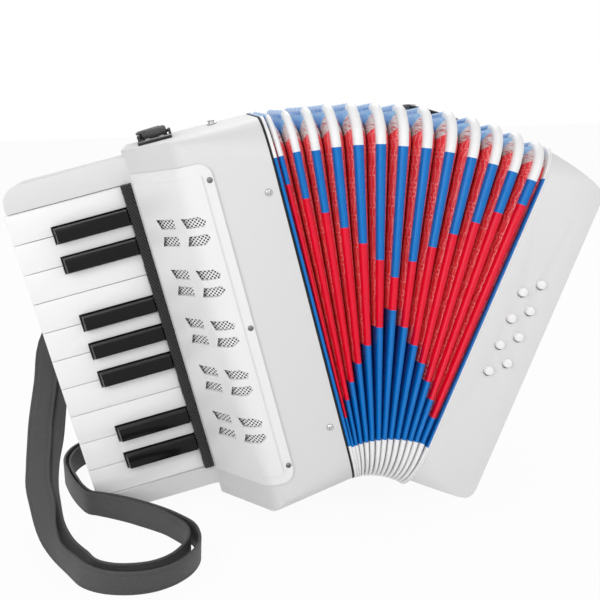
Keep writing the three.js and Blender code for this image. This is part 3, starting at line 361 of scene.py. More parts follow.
class FineDust(Effect):
    """Dust that settles thinly on what faces up."""

    name = "fine_dust"
    inputs = (("Colour", COLOUR, (0.5, 0.5, 0.5, 1.0)), ("Dust Colour", COLOUR, (0.6, 0.58, 0.55, 1.0)),
              ("Position", VECTOR, None), ("Amount", FLOAT, 0.1))
    outputs = (("Colour", COLOUR, None), ("Mask", FLOAT, None))

    @classmethod
    def draw(cls, canvas: Canvas, source: dict) -> dict:
        """Breaks an upward mask with a fine noise."""
        normal = canvas.add("ShaderNodeNewGeometry").outputs["Normal"]
        upward = canvas.remap(canvas.split(normal)[2], 0.2, 1.0)
        specks = canvas.remap(canvas.noise(source["Position"], 900.0, 4.0, 0.7), 0.42, 0.68)
        mask = canvas.times(canvas.times(upward, specks), source["Amount"])
        return {"Colour": canvas.mix(mask, source["Colour"], source["Dust Colour"]), "Mask": mask}


class EdgeWear(Effect):
    """Rubbed edges, where a finish grows thin or shiny."""

    name = "edge_wear"
    inputs = (("Colour", COLOUR, (0.5, 0.5, 0.5, 1.0)), ("Worn Colour", COLOUR, (0.8, 0.8, 0.8, 1.0)),
              ("Position", VECTOR, None), ("Radius", FLOAT, 0.0008), ("Amount", FLOAT, 0.5))
    outputs = (("Colour", COLOUR, None), ("Mask", FLOAT, None))

    @classmethod
    def draw(cls, canvas: Canvas, source: dict) -> dict:
        """Finds edges from the turn of a rounded normal, and breaks them with a noise."""
        rounded = canvas.add("ShaderNodeBevel", {"Radius": source["Radius"]}, samples=4).outputs[0]
        normal = canvas.add("ShaderNodeNewGeometry").outputs["Normal"]
        turn = canvas.vector_math("DOT_PRODUCT", rounded, normal).outputs["Value"]
        edge = canvas.remap(canvas.minus(1.0, turn), 0.01, 0.2)
        rub = canvas.remap(canvas.noise(source["Position"], 160.0, 4.0, 0.65), 0.4, 0.6)
        mask = canvas.times(canvas.times(edge, rub), source["Amount"], clamp=True)
        return {"Colour": canvas.mix(mask, source["Colour"], source["Worn Colour"]), "Mask": mask}


class LeatherGrain(Effect):
    """The pebbled skin of leather cloth and the creases between its cells."""

    name = "leather_grain"
    inputs = (("Position", VECTOR, None), ("Size", FLOAT, 0.0009))
    outputs = (("Height", FLOAT, None), ("Crease", FLOAT, None))

    @classmethod
    def draw(cls, canvas: Canvas, source: dict) -> dict:
        """Uses the distance to the cell borders of two cell sizes."""
        density = canvas.density(source["Size"])
        warp = canvas.scaled(canvas.noise(source["Position"], 400.0, 2.0), 0.0006)
        place = canvas.vector_math("ADD", source["Position"], warp).outputs[0]
        coarse, fine = (canvas.add("ShaderNodeTexVoronoi", {"Vector": place, "Scale": scale},
                                   feature="DISTANCE_TO_EDGE").outputs[0]
                        for scale in (density, canvas.times(density, 2.3)))
        pebble = canvas.remap(coarse, 0.0, 0.28)
        height = canvas.math("MULTIPLY_ADD", canvas.remap(fine, 0.0, 0.3), 0.35, pebble)
        return {"Height": height, "Crease": canvas.minus(1.0, canvas.remap(coarse, 0.0, 0.12))}


class TwillWeave(Effect):
    """Slanted threads that pass over and under each other."""

    name = "twill_weave"
    inputs = (("Place", VECTOR, None), ("Pitch", FLOAT, 0.001))
    outputs = (("Height", FLOAT, None), ("Rib", FLOAT, None))

    @classmethod
    def draw(cls, canvas: Canvas, source: dict) -> dict:
        """Adds a slanted wave and a finer wave across it."""
        density = canvas.math("DIVIDE", FULL_TURN, source["Pitch"])
        along, across, _ = canvas.split(canvas.scaled(source["Place"], density))
        slant = canvas.math("SINE", canvas.plus(along, across))
        cross = canvas.math("SINE", canvas.times(canvas.minus(along, across), 2.0))
        rib = canvas.math("MULTIPLY_ADD", slant, 0.5, 0.5)
        return {"Rib": rib, "Height": canvas.math("MULTIPLY_ADD", cross, 0.2, rib)}


class SteppedLines(Effect):
    """A fine line that climbs and falls in square steps, cell by cell."""

    name = "stepped_lines"
    inputs = (("Along", FLOAT, 0.0), ("Across", FLOAT, 0.0), ("Cell", FLOAT, 0.003),
              ("Lane", FLOAT, 0.0016), ("Repeat", FLOAT, 0.0054), ("Jog Width", FLOAT, 0.0007),
              ("Line Width", FLOAT, 0.0006))
    outputs = (("Mask", FLOAT, None),)

    @classmethod
    def draw(cls, canvas: Canvas, source: dict) -> dict:
        """Draws the lane of each cell and the jog where the lane changes, beside each other many times."""
        step = canvas.math("DIVIDE", source["Along"], source["Cell"])
        repeats = canvas.math("FRACT", canvas.math("DIVIDE", source["Across"], source["Repeat"]))
        beside = canvas.times(repeats, source["Repeat"])

        def lane(cell: Value) -> bpy.types.NodeSocket:
            """Returns the distance across of the lane that a cell uses."""
            draw = canvas.add("ShaderNodeTexWhiteNoise", {"W": cell}, noise_dimensions="1D").outputs[0]
            order = canvas.math("FLOOR", canvas.times(draw, 3.0))
            return canvas.times(canvas.plus(order, 0.55), source["Lane"])

        here = lane(canvas.math("FLOOR", step))
        offset = canvas.math("ABSOLUTE", canvas.minus(beside, here))
        run = canvas.math("LESS_THAN", offset, canvas.times(source["Line Width"], 0.5))
        border = canvas.math("ROUND", step)
        one, other = lane(canvas.minus(border, 1.0)), lane(border)
        to_border = canvas.math("ABSOLUTE", canvas.minus(step, border))
        thin = canvas.math("DIVIDE", source["Jog Width"], canvas.times(source["Cell"], 2.0))
        near = canvas.math("LESS_THAN", to_border, thin)
        above = canvas.math("GREATER_THAN", beside, canvas.math("MINIMUM", one, other))
        below = canvas.math("LESS_THAN", beside, canvas.math("MAXIMUM", one, other))
        jog = canvas.times(near, canvas.times(above, below))
        return {"Mask": canvas.math("MAXIMUM", run, jog)}


class RoundHoles(Effect):
    """Rows of small round holes, set on the slant."""

    name = "round_holes"
    inputs = (("Place", VECTOR, None), ("Pitch", FLOAT, 0.0016), ("Hole Share", FLOAT, 0.33))
    outputs = (("Hole", FLOAT, None), ("Height", FLOAT, None))

    @classmethod
    def draw(cls, canvas: Canvas, source: dict) -> dict:
        """Measures the distance to the middle of each cell of a slanted grid."""
        density = canvas.density(source["Pitch"])
        x, y, _ = canvas.split(canvas.scaled(source["Place"], density))
        first = canvas.math("FRACT", canvas.plus(x, y))
        second = canvas.math("FRACT", canvas.minus(x, y))
        offset = canvas.join(canvas.minus(first, 0.5), canvas.minus(second, 0.5))
        reach = canvas.vector_math("LENGTH", offset).outputs["Value"]
        edge = canvas.minus(reach, source["Hole Share"])
        height = canvas.remap(edge, -0.08, 0.08)
        return {"Height": height, "Hole": canvas.minus(1.0, height)}


class WoodGrain(Effect):
    """Long fibres and pores of plain wood."""

    name = "wood_grain"
    inputs = (("Position", VECTOR, None), ("Light", COLOUR, (0.5, 0.3, 0.15, 1.0)),
              ("Dark", COLOUR, (0.3, 0.16, 0.07, 1.0)), ("Width", FLOAT, 0.003))
    outputs = (("Colour", COLOUR, None), ("Height", FLOAT, None))

    @classmethod
    def draw(cls, canvas: Canvas, source: dict) -> dict:
        """Stretches a noise along Z."""
        x, y, z = canvas.split(source["Position"])
        long = canvas.join(x, y, canvas.times(z, 0.06))
        fibre = canvas.noise(long, canvas.density(source["Width"]), 5.0, 0.6)
        share = canvas.remap(fibre, 0.35, 0.65)
        return {"Colour": canvas.mix(share, source["Light"], source["Dark"]), "Height": fibre}


class BrushedMetal(Effect):
    """Hairlines in bright metal."""

    name = "brushed_metal"
    inputs = (("Position", VECTOR, None), ("Roughness", FLOAT, 0.2), ("Spread", FLOAT, 0.2))
    outputs = (("Roughness", FLOAT, None), ("Height", FLOAT, None))

    @classmethod
    def draw(cls, canvas: Canvas, source: dict) -> dict:
        """Stretches a fine noise along X."""
        x, y, z = canvas.split(source["Position"])
        line = canvas.noise(canvas.join(canvas.times(x, 0.04), y, z), 2600.0, 3.0)
        roughness = canvas.plus(source["Roughness"], canvas.swing(line, source["Spread"]), clamp=True)
        return {"Height": line, "Roughness": roughness}


# Finishes.


@dataclass(frozen=True)
class Look:
    """What a finish feeds into its shader, and the height that it embosses.

    The depth is what a height of 1 stands for, in metres.
    """

    values: dict
    height: Value
    depth: float
    strength: float = 1.0


@dataclass(frozen=True)
class Finish:
    """What a surface is made of and how it is finished."""

    name: str

    def material(self) -> bpy.types.Material:
        """Returns the finish's material, built the first time."""
        found = bpy.data.materials.get(self.name)
        if found is not None:
            return found
        material = bpy.data.materials.new(self.name)
        material.use_nodes = True
        material.node_tree.nodes.clear()
        canvas = Canvas(material.node_tree)
        look = self.look(canvas)
        bump = canvas.add("ShaderNodeBump", {"Height": look.height, "Distance": look.depth,
                                             "Strength": look.strength})
        shader = canvas.add("ShaderNodeBsdfPrincipled", {**look.values, "Normal": bump.outputs[0]})
        canvas.add("ShaderNodeOutputMaterial", {"Surface": shader.outputs[0]})
        return material

    def look(self, canvas: Canvas) -> Look:
        """Returns what the shader is fed with.

        Args:
            canvas: The material's canvas.
        """
        raise NotImplementedError


@dataclass(frozen=True)
class MouldedPlastic(Finish):
    """Glossy moulded plastic."""

    colour: Colour
    roughness: float = 0.26
    coat: float = 0.25
    coat_roughness: float = 0.12
    ripple_depth: float = 0.00025
    ripple_share: float = 0.6
    tone: float = 0.012
    dust: float = 0.03
    dust_roughness: float = 0.4
    gloss: float = 0.5
    wear: float = 0.0
    worn_colour: Colour = grey(120)

    def look(self, canvas: Canvas) -> Look:
        """Gives the skin its ripple, a drift in tone, thin dust and rubbed edges."""
        skin = MouldedSurface.place(canvas, {"Roughness": self.roughness})
        colour = HandledTone.place(canvas, {"Colour": self.colour, "Amount": self.tone})["Colour"]
        if self.wear > 0.0:
            rubbed = {"Colour": colour, "Worn Colour": self.worn_colour, "Amount": self.wear}
            colour = EdgeWear.place(canvas, rubbed)["Colour"]
        dusty = FineDust.place(canvas, {"Colour": colour, "Amount": self.dust})
        dull = canvas.math("MULTIPLY_ADD", dusty["Mask"], self.dust_roughness, skin["Roughness"], clamp=True)
        values = {"Base Color": dusty["Colour"], "Roughness": dull, "Specular IOR Level": self.gloss,
                  "Coat Weight": self.coat, "Coat Roughness": self.coat_roughness}
        return Look(values, skin["Height"], self.ripple_depth, self.ripple_share)


@dataclass(frozen=True)
class GlossTape(Finish):
    """Vinyl tape drawn over the edge of a fold, with a painted highlight along its crown."""

    colour: Colour
    # The lit colour is a painted highlight along the tape's crown.
    lit_colour: Colour
    crown_at: float = 0.0085
    crown_reach: float = 0.0035
    crown_share: float = 0.55
    gloss: float = 0.3

    def look(self, canvas: Canvas) -> Look:
        """Draws fine pulls along the tape, and paints a highlight in the lit colour along its crown, broken
        up by the pulls.
        """
        along, across, _ = canvas.split(canvas.surface_place())
        pulled = canvas.join(canvas.times(along, 0.12), across)
        pull = canvas.noise(pulled, scale=700.0, detail=3.0, roughness=0.6)
        off_crown = canvas.math("ABSOLUTE", canvas.minus(across, self.crown_at))
        crown = canvas.remap(off_crown, 0.0, self.crown_reach, 1.0, 0.0)
        painted_highlight = canvas.times(crown, canvas.spread(pull, 0.3, 0.9))
        mixed = canvas.mix(canvas.times(painted_highlight, self.crown_share), self.colour, self.lit_colour)
        tone = HandledTone.place(canvas, {"Colour": mixed, "Size": 0.012, "Amount": 0.1})
        values = {"Base Color": tone["Colour"], "Roughness": canvas.spread(pull, 0.2, 0.32),
                  "Specular IOR Level": self.gloss}
        return Look(values, pull, 0.00012)


@dataclass(frozen=True)
class PatternedPaper(Finish):
    """Printed paper on the sides of the folds, with fine stepped lines."""

    colour: Colour
    blotch_colour: Colour
    line_colour: Colour
    line_share: float = 0.85
    blotch_share: float = 0.7

    def look(self, canvas: Canvas) -> Look:
        """Blotches the ground and prints the lines over it."""
        place = canvas.surface_place()
        along, across, _ = canvas.split(place)
        blotch = canvas.remap(canvas.noise(place, scale=150.0, detail=3.0, roughness=0.6), 0.45, 0.65)
        ground = canvas.mix(canvas.times(blotch, self.blotch_share), self.colour, self.blotch_colour)
        lines = SteppedLines.place(canvas, {"Along": along, "Across": across})["Mask"]
        printed = canvas.mix(canvas.times(lines, self.line_share), ground, self.line_colour)
        fibre = canvas.noise(place, scale=1500.0, detail=3.0)
        return Look({"Base Color": printed, "Roughness": canvas.spread(fibre, 0.42, 0.6)}, fibre, 0.00006)


@dataclass(frozen=True)
class StreakedCloth(Finish):
    """Thin sheeny cloth that closes the corners of the folds."""

    colour: Colour
    fold_shading_colour: Colour
    fold_shading_share: float
    sheen: float = 0.2

    def look(self, canvas: Canvas) -> Look:
        """Paints slanted streaks that stand for the light and shade of fine folds, over a fine twill."""
        place = canvas.surface_place()
        along, across, _ = canvas.split(place)
        slanted = canvas.join(canvas.minus(along, across), canvas.times(across, 0.25))
        fold_shading = canvas.remap(canvas.noise(slanted, scale=420.0, detail=2.0), 0.5, 0.6)
        weave = TwillWeave.place(canvas, {"Place": place, "Pitch": 0.0009})
        colour = canvas.mix(canvas.times(fold_shading, self.fold_shading_share), self.colour, self.fold_shading_colour)
        values = {"Base Color": colour, "Roughness": canvas.remap(weave["Rib"], 0.0, 1.0, 0.38, 0.55),
                  "Sheen Weight": self.sheen}
        return Look(values, weave["Height"], 0.00008)


@dataclass(frozen=True)
class LeatherCloth(Finish):
    """Grained imitation leather."""

    colour: Colour
    crease_shade_colour: Colour
    roughness: float = 0.5
    grain: float = 0.0009
    crease_shade_share: float = 0.6

    def look(self, canvas: Canvas) -> Look:
        """Pebbles the skin, paints shade into its creases and rubs its edges lighter."""
        grain = LeatherGrain.place(canvas, {"Size": self.grain})
        tone = HandledTone.place(canvas, {"Colour": self.colour, "Size": 0.03, "Amount": 0.25})
        depth = canvas.times(grain["Crease"], self.crease_shade_share)
        crease_shaded = canvas.mix(depth, tone["Colour"], self.crease_shade_colour)
        worn = EdgeWear.place(canvas, {"Colour": crease_shaded, "Worn Colour": grey(112), "Radius": 0.0007,
                                       "Amount": 0.6})
        roughness = canvas.remap(grain["Height"], 0.0, 1.2, self.roughness + 0.12, self.roughness - 0.06)
        return Look({"Base Color": worn["Colour"], "Roughness": roughness}, grain["Height"], 0.00014)


@dataclass(frozen=True)
class WovenFelt(Finish):
    """Dark woven strip beside the keys."""

    colour: Colour
    thread_colour: Colour
    pitch: float = 0.0023
    sheen: float = 0.25

    def look(self, canvas: Canvas) -> Look:
        """Weaves slanted threads and fuzzes them."""
        position = canvas.rest_position()
        x, _, z = canvas.split(position)
        weave = TwillWeave.place(canvas, {"Place": canvas.join(x, z), "Pitch": self.pitch})
        fuzz = canvas.noise(position, scale=2600.0, detail=3.0, roughness=0.7)
        share = canvas.times(weave["Rib"], canvas.spread(fuzz, 0.55, 1.0))
        values = {"Base Color": canvas.mix(share, self.colour, self.thread_colour),
                  "Roughness": canvas.spread(fuzz, 0.8, 0.98), "Sheen Weight": self.sheen}
        return Look(values, canvas.math("MULTIPLY_ADD", fuzz, 0.3, weave["Height"]), 0.0003)


@dataclass(frozen=True)
class PerforatedMetal(Finish):
    """Bright sheet metal with rows of small holes, painted dark for the shade seen through them."""

    metal_colour: Colour
    hole_shade_colour: Colour
    pitch: float = 0.0025
    hole_share: float = 0.34
    metallic: float = 0.15
    turn: float = 0.0

    def look(self, canvas: Canvas) -> Look:
        """Paints the holes dark for the shade seen through them, and dips them with the bump."""
        x, _, z = canvas.split(canvas.rest_position())
        cosine, sine = math.cos(self.turn), math.sin(self.turn)
        across = canvas.math("MULTIPLY_ADD", z, sine, canvas.times(x, cosine))
        along = canvas.math("MULTIPLY_ADD", z, cosine, canvas.times(x, -sine))
        holes = RoundHoles.place(canvas, {"Place": canvas.join(across, along), "Pitch": self.pitch,
                                          "Hole Share": self.hole_share})
        brushed = BrushedMetal.place(canvas, {"Roughness": 0.32, "Spread": 0.2})
        values = {"Base Color": canvas.mix(holes["Hole"], self.metal_colour, self.hole_shade_colour),
                  "Metallic": canvas.times(holes["Height"], self.metallic),
                  "Roughness": canvas.math("MULTIPLY_ADD", holes["Hole"], 0.4, brushed["Roughness"])}
        return Look(values, holes["Height"], 0.0003)


@dataclass(frozen=True)
class PlatedSteel(Finish):
    """Bright plated metal."""

    colour: Colour
    roughness: float = 0.14

    def look(self, canvas: Canvas) -> Look:
        """Gives the plating hairlines and dulled edges."""
        brushed = BrushedMetal.place(canvas, {"Roughness": self.roughness, "Spread": 0.12})
        worn = EdgeWear.place(canvas, {"Colour": self.colour, "Worn Colour": grey(235), "Radius": 0.0004,
                                       "Amount": 0.5})
        values = {"Base Color": worn["Colour"], "Roughness": brushed["Roughness"], "Metallic": 1.0}
        return Look(values, brushed["Height"], 0.00002)


@dataclass(frozen=True)
class LacqueredSteel(Finish):
    """Stamped steel under black lacquer."""

    colour: Colour
    bare_metal: float = 0.8

    def look(self, canvas: Canvas) -> Look:
        """Lets bare steel through at the edges of an orange-peel lacquer."""
        skin = MouldedSurface.place(canvas, {"Ripple Size": 0.0022, "Roughness": 0.34})
        worn = EdgeWear.place(canvas, {"Colour": self.colour, "Worn Colour": grey(150), "Radius": 0.0005,
                                       "Amount": 0.55})
        dusty = FineDust.place(canvas, {"Colour": worn["Colour"], "Amount": 0.12})
        values = {"Base Color": dusty["Colour"], "Metallic": canvas.times(worn["Mask"], self.bare_metal),
                  "Roughness": skin["Roughness"]}
        return Look(values, skin["Height"], 0.00008)


@dataclass(frozen=True)
class PlainWood(Finish):
    """Unvarnished wood."""

    light: Colour
    dark: Colour

    def look(self, canvas: Canvas) -> Look:
        """Draws the grain along the board."""
        grain = WoodGrain.place(canvas, {"Light": self.light, "Dark": self.dark})
        dusty = FineDust.place(canvas, {"Colour": grain["Colour"], "Amount": 0.2})
        values = {"Base Color": dusty["Colour"], "Roughness": canvas.spread(grain["Height"], 0.55, 0.75)}
        return Look(values, grain["Height"], 0.00025)


@dataclass(frozen=True)
class FoamRubber(Finish):
    """Matt black sealing foam, whose dark line also paints the shadow where the bellows meets the shells."""

    colour: Colour

    def look(self, canvas: Canvas) -> Look:
        """Pits the surface with small open cells."""
        skin = MouldedSurface.place(canvas, {"Ripple Size": 0.0012, "Grain Size": 0.0003, "Grain Share": 0.6,
                                             "Roughness": 0.8})
        tone = HandledTone.place(canvas, {"Colour": self.colour, "Amount": 0.3})
        return Look({"Base Color": tone["Colour"], "Roughness": skin["Roughness"]}, skin["Height"], 0.0002)


CASING = MouldedPlastic("casing_plastic", grey(225), roughness=0.4, coat=0.0, ripple_depth=0.00004)
COVER = MouldedPlastic("cover_plastic", grey(241), roughness=0.3, coat=0.12, ripple_depth=0.00005)
WHITE_KEY = MouldedPlastic("white_key_plastic", grey(248), roughness=0.24, coat=0.2, ripple_depth=0.00005)
BLACK_KEY = MouldedPlastic("black_key_plastic", grey(16), roughness=0.2, coat=0.0, ripple_depth=0.00008,
                           tone=0.1, dust=0.01, gloss=0.2, wear=0.3, worn_colour=grey(70))
BUTTON = MouldedPlastic("button_plastic", grey(244), roughness=0.22, coat=0.4, ripple_depth=0.00005)
# Each tape's second colour is the painted highlight along its crown.
WHITE_TAPE = GlossTape("white_tape", grey(244), grey(252))
BLUE_TAPE = GlossTape("blue_tape", srgb(0, 108, 190), srgb(0, 148, 230))
# Painted light: a paler copy of the blue tape, for the top, where the light falls.
LIT_BLUE_TAPE = GlossTape("lit_blue_tape", srgb(104, 168, 228), srgb(140, 198, 244))
RED_TAPE = GlossTape("red_tape", srgb(228, 2, 44), srgb(250, 20, 62))
RED_PAPER = PatternedPaper("red_patterned_paper", srgb(234, 52, 64), srgb(246, 104, 108),
                           srgb(255, 200, 200), 0.55)
# Painted shade: the paper low in the folds is dark navy, for the shade there, tinted by the blue tapes beside
# it.
NAVY_SHADE_PAPER = PatternedPaper("navy_shade_paper", srgb(10, 52, 132), srgb(14, 74, 160),
                            srgb(60, 110, 190), 0.3)
# Painted light: a paler blue than the cloth's own, for the light that falls on the top; the same cloth also
# covers the base and the upper corners.
LIT_BLUE_CLOTH = StreakedCloth("lit_blue_cloth", srgb(116, 184, 240), srgb(160, 212, 250), 0.5)
# Painted shade: the dark cloth that stands for the shade inside the bellows.
SHADE_SHEET_CLOTH = StreakedCloth("shade_sheet_cloth", srgb(22, 18, 40), srgb(34, 26, 52), 0.4)
# Painted shade: the red streaks stand for the shade in the cloth's slanted folds.
CORNER_CLOTH = StreakedCloth("corner_cloth", srgb(226, 214, 214), srgb(206, 92, 96), 0.9)
# Each leather's second colour is the painted shade in its grain's creases.
STRAP_LEATHER = LeatherCloth("strap_leather", grey(76), grey(44))
SMOOTH_LEATHER = LeatherCloth("band_leather", grey(58), grey(30), grain=0.0012)
FELT = WovenFelt("woven_felt", grey(8), grey(70))
# The second colour is the painted shade seen through the mesh's holes.
MESH = PerforatedMetal("perforated_metal", grey(255), grey(30), turn=CASING_LEAN)
PLATED = PlatedSteel("plated_steel", grey(200))
DULL_STEEL = PlatedSteel("dull_screw_steel", grey(132), roughness=0.34)
LACQUER = LacqueredSteel("lacquered_steel", grey(10))
WOOD = PlainWood("plain_wood", srgb(204, 164, 116), srgb(160, 116, 72))
# Partly painted shadow: a real black seal, whose dark line also stands for the shadow between the shells and
# the bellows.
SEAL_FOAM_AND_SHADOW = FoamRubber("seal_foam_and_shadow", grey(26))


# Mesh building.


class MeshDraft:
    """Collects the points and faces of one piece, with their place on the unrolled surface."""

    def __init__(self, name: str) -> None:
        """Starts an empty draft under the piece's name."""
        self.name = name
        self.points: list[Vector] = []
        self.faces: list[tuple[int, ...]] = []
        self.places: list[list[tuple[float, float]]] = []
        self.parts: list[int] = []

    def band(self, rows: Sequence[Sequence[Vector]], place: Callable[[int, int], tuple[float, float]],
             part: Callable[[int, int], int] = lambda row, column: 0,
             close_rows: bool = False, close_columns: bool = False) -> int:
        """Joins rows of points with quads.

        Args:
            rows: Points, row by row, the same number in each.
            place: The place on the unrolled surface for a row and a column.
            part: The finish number for the quad after a row and a column.
            close_rows: Whether the last row joins the first.
            close_columns: Whether each row's last point joins its first.

        Returns:
            The number of the first point that was added.
        """
        start, width = len(self.points), len(rows[0])
        for row in rows:
            self.points.extend(row)
        for row in range(len(rows) if close_rows else len(rows) - 1):
            near, far = start + row * width, start + ((row + 1) % len(rows)) * width
            for column in range(width if close_columns else width - 1):
                after = (column + 1) % width
                self.faces.append((near + column, near + after, far + after, far + column))
                self.places.append([place(row, column), place(row, column + 1),
                                    place(row + 1, column + 1), place(row + 1, column)])
                self.parts.append(part(row, column))
        return start

    def cap(self, corners: Sequence[int], part: int = 0) -> None:
        """Closes an open end with one face.

        Args:
            corners: The numbers of the points round the end.
            part: The finish number.
        """
        self.faces.append(tuple(corners))
        self.places.append([(0.0, 0.0)] * len(corners))
        self.parts.append(part)

    def piece(self, finishes: Sequence[Finish], smooth_degrees: float) -> bpy.types.Object:
        """Turns the draft into an object with its finishes.

        Args:
            finishes: The finishes by number.
            smooth_degrees: Edges that turn by more than this stay sharp.

        Returns:
            The new object.
        """
        mesh = bpy.data.meshes.new(self.name)
        mesh.from_pydata([tuple(point) for point in self.points], [], self.faces)
        layer = mesh.uv_layers.new(name="unrolled")
        for polygon, places, part in zip(mesh.polygons, self.places, self.parts):
            polygon.material_index = part
            polygon.use_smooth = True
            for loop, spot in zip(polygon.loop_indices, places):
                layer.data[loop].uv = spot
        shape = bmesh.new()
        shape.from_mesh(mesh)
        bmesh.ops.recalc_face_normals(shape, faces=shape.faces)
        shape.to_mesh(mesh)
        shape.free()
        mesh.set_sharp_from_angle(angle=math.radians(smooth_degrees))
        for finish in finishes:
            mesh.materials.append(finish.material())
        piece = bpy.data.objects.new(self.name, mesh)
        bpy.context.scene.collection.objects.link(piece)
        return piece


@dataclass(frozen=True)
class Place:
    """A local frame in millimetres, set in the shared frame in metres."""

    turn: Matrix
    origin: Vector

    def point(self, x: float, y: float, z: float) -> Vector:
        """Returns a local point in the shared frame."""
        return self.origin + self.turn @ Vector((x, y, z)) * MM

    def direction(self, x: float, y: float, z: float) -> Vector:
        """Returns a local direction in the shared frame."""
        return (self.turn @ Vector((x, y, z))).normalized()

    def swung(self, pivot: Vector, axis: Vector, degrees: float) -> "Place":
        """Returns this frame after a turn about a line.

        Args:
            pivot: A point on the line, in metres.
            axis: The line's direction.
            degrees: The turn.
        """
        spin = Matrix.Rotation(math.radians(degrees), 3, axis)
        return Place(spin @ self.turn, pivot + spin @ (self.origin - pivot))


@dataclass(frozen=True)
class Lathe:
    """Turns rings of points about an axis."""

    centre: Vector
    up: Vector
    around: int

    def ring(self, radius: float, level: Callable[[float, float], float]) -> list[Vector]:
        """Returns one ring of points.

        Args:
            radius: The ring's radius in millimetres.
            level: Gives the height along the axis, in millimetres, for a turn's cosine and sine.
        """
        first = self.up.orthogonal().normalized()
        second = self.up.cross(first)
        found = []
        for step in range(self.around):
            turn = FULL_TURN * step / self.around
            x, y = math.cos(turn), math.sin(turn)
            found.append(self.centre + ((first * x + second * y) * radius + self.up * level(x, y)) * MM)
        return found

    def piece(self, name: str, rings: Sequence[Sequence[Vector]], finish: Finish,
              pitch: tuple[float, float]) -> bpy.types.Object:
        """Joins rings into one closed piece.

        Args:
            name: The piece's name.
            rings: The rings, from the foot to the crown.
            finish: The piece's finish.
            pitch: How far apart columns and rings are on the unrolled surface, in metres.

        Returns:
            The new object.
        """
        draft = MeshDraft(name)
        start = draft.band(rings, lambda row, column: (column * pitch[0], row * pitch[1]), close_columns=True)
        last = start + (len(rings) - 1) * self.around
        draft.cap([start + step for step in reversed(range(self.around))])
        draft.cap([last + step for step in range(self.around)])
        return draft.piece((finish,), 40.0)


@dataclass(frozen=True)
class Layout:
    """Where the keyboard end, each rib and the bass end stand, worked out from the joints."""

    treble: Place
    ribs: tuple[Place, ...]
    bass: Place

    @classmethod
    def from_joints(cls, behaviour: dict) -> "Layout":
        """Reads the frames from the joints' places and axes.

        Args:
            behaviour: The record's joints and couplings.
        """
        joints = {joint["name"]: joint for joint in behaviour["joints"]}
        ratios = {row["joint"]: row["ratio"] for row in behaviour["couplings"]}
        key = joints["white_key_01_press"]
        up = -Vector(key["axis"]).normalized()
        back = Vector((0.0, 1.0, 0.0))
        right = back.cross(up)
        turn = Matrix((right, back, up)).transposed()
        treble = Place(turn, Vector(key["pos_m"]) - turn @ Vector(FIRST_KEY_PIVOT) * MM)
        fan = joints["bellows_fan"]
        axis, reach = Vector(fan["axis"]), abs(fan["range_deg"][0])
        ribs = []
        for order in range(RIB_COUNT):
            name = f"rib_{order + 1:02d}_fan"
            ribs.append(treble.swung(Vector(joints[name]["pos_m"]), axis, ratios[name] * reach))
        return cls(treble, tuple(ribs), treble.swung(Vector(fan["pos_m"]), axis, reach))


def smooth_route(places: Sequence[Vector], steps: int, closed: bool) -> list[Vector]:
    """Runs a centripetal curve through points.

    Args:
        places: The points.
        steps: How many places each span is cut into.
        closed: Whether the curve returns to its start.

    Returns:
        The places along the curve.
    """
    count = len(places)

    def at(order: int) -> Vector:
        """Returns a point, wrapped or carried on past the ends."""
        if closed:
            return places[order % count]
        if order < 0:
            return places[0] * 2.0 - places[1]
        if order >= count:
            return places[-1] * 2.0 - places[-2]
        return places[order]

    found = []
    for span in range(count if closed else count - 1):
        a, b, c, d = (at(span + shift) for shift in (-1, 0, 1, 2))
        first, middle, last = ((q - p).length ** 0.5 or 1.0 for p, q in ((a, b), (b, c), (c, d)))
        enter = ((b - a) / first - (c - a) / (first + middle) + (c - b) / middle) * middle
        leave = ((c - b) / middle - (d - b) / (middle + last) + (d - c) / last) * middle
        for step in range(steps):
            t = step / steps
            cubic = (b * 2.0 - c * 2.0 + enter + leave) * t ** 3
            found.append(cubic + (c * 3.0 - b * 3.0 - enter * 2.0 - leave) * t ** 2 + enter * t + b)
    if not closed:
        found.append(places[-1].copy())
    return found


# Carried-over solids.


def crease_tool() -> bpy.types.NodeTree:
    """Returns a node group that shades a mesh smooth apart from its sharper edges."""
    name = "smooth_but_creased"
    found = bpy.data.node_groups.get(name)
    if found is not None:
        return found
    tree = bpy.data.node_groups.new(name, "GeometryNodeTree")
    tree.interface.new_socket("Geometry", in_out="INPUT", socket_type="NodeSocketGeometry")
    angle = tree.interface.new_socket("Angle", in_out="INPUT", socket_type="NodeSocketFloat")
    angle.default_value = math.radians(30.0)
    tree.interface.new_socket("Geometry", in_out="OUTPUT", socket_type="NodeSocketGeometry")
    canvas = Canvas(tree)
    source, target = canvas.add("NodeGroupInput"), canvas.add("NodeGroupOutput")
    turn = canvas.add("GeometryNodeInputMeshEdgeAngle").outputs["Unsigned Angle"]
    flat = canvas.add("FunctionNodeCompare", {0: turn, 1: source.outputs["Angle"]},
                      data_type="FLOAT", operation="LESS_EQUAL").outputs[0]
    faces = canvas.add("GeometryNodeSetShadeSmooth",
                       {"Geometry": source.outputs["Geometry"], "Shade Smooth": True}, domain="FACE")
    edges = canvas.add("GeometryNodeSetShadeSmooth", {"Geometry": faces.outputs[0], "Shade Smooth": flat},
                       domain="EDGE")
    canvas.feed(target.inputs[0], edges.outputs[0])
    return tree


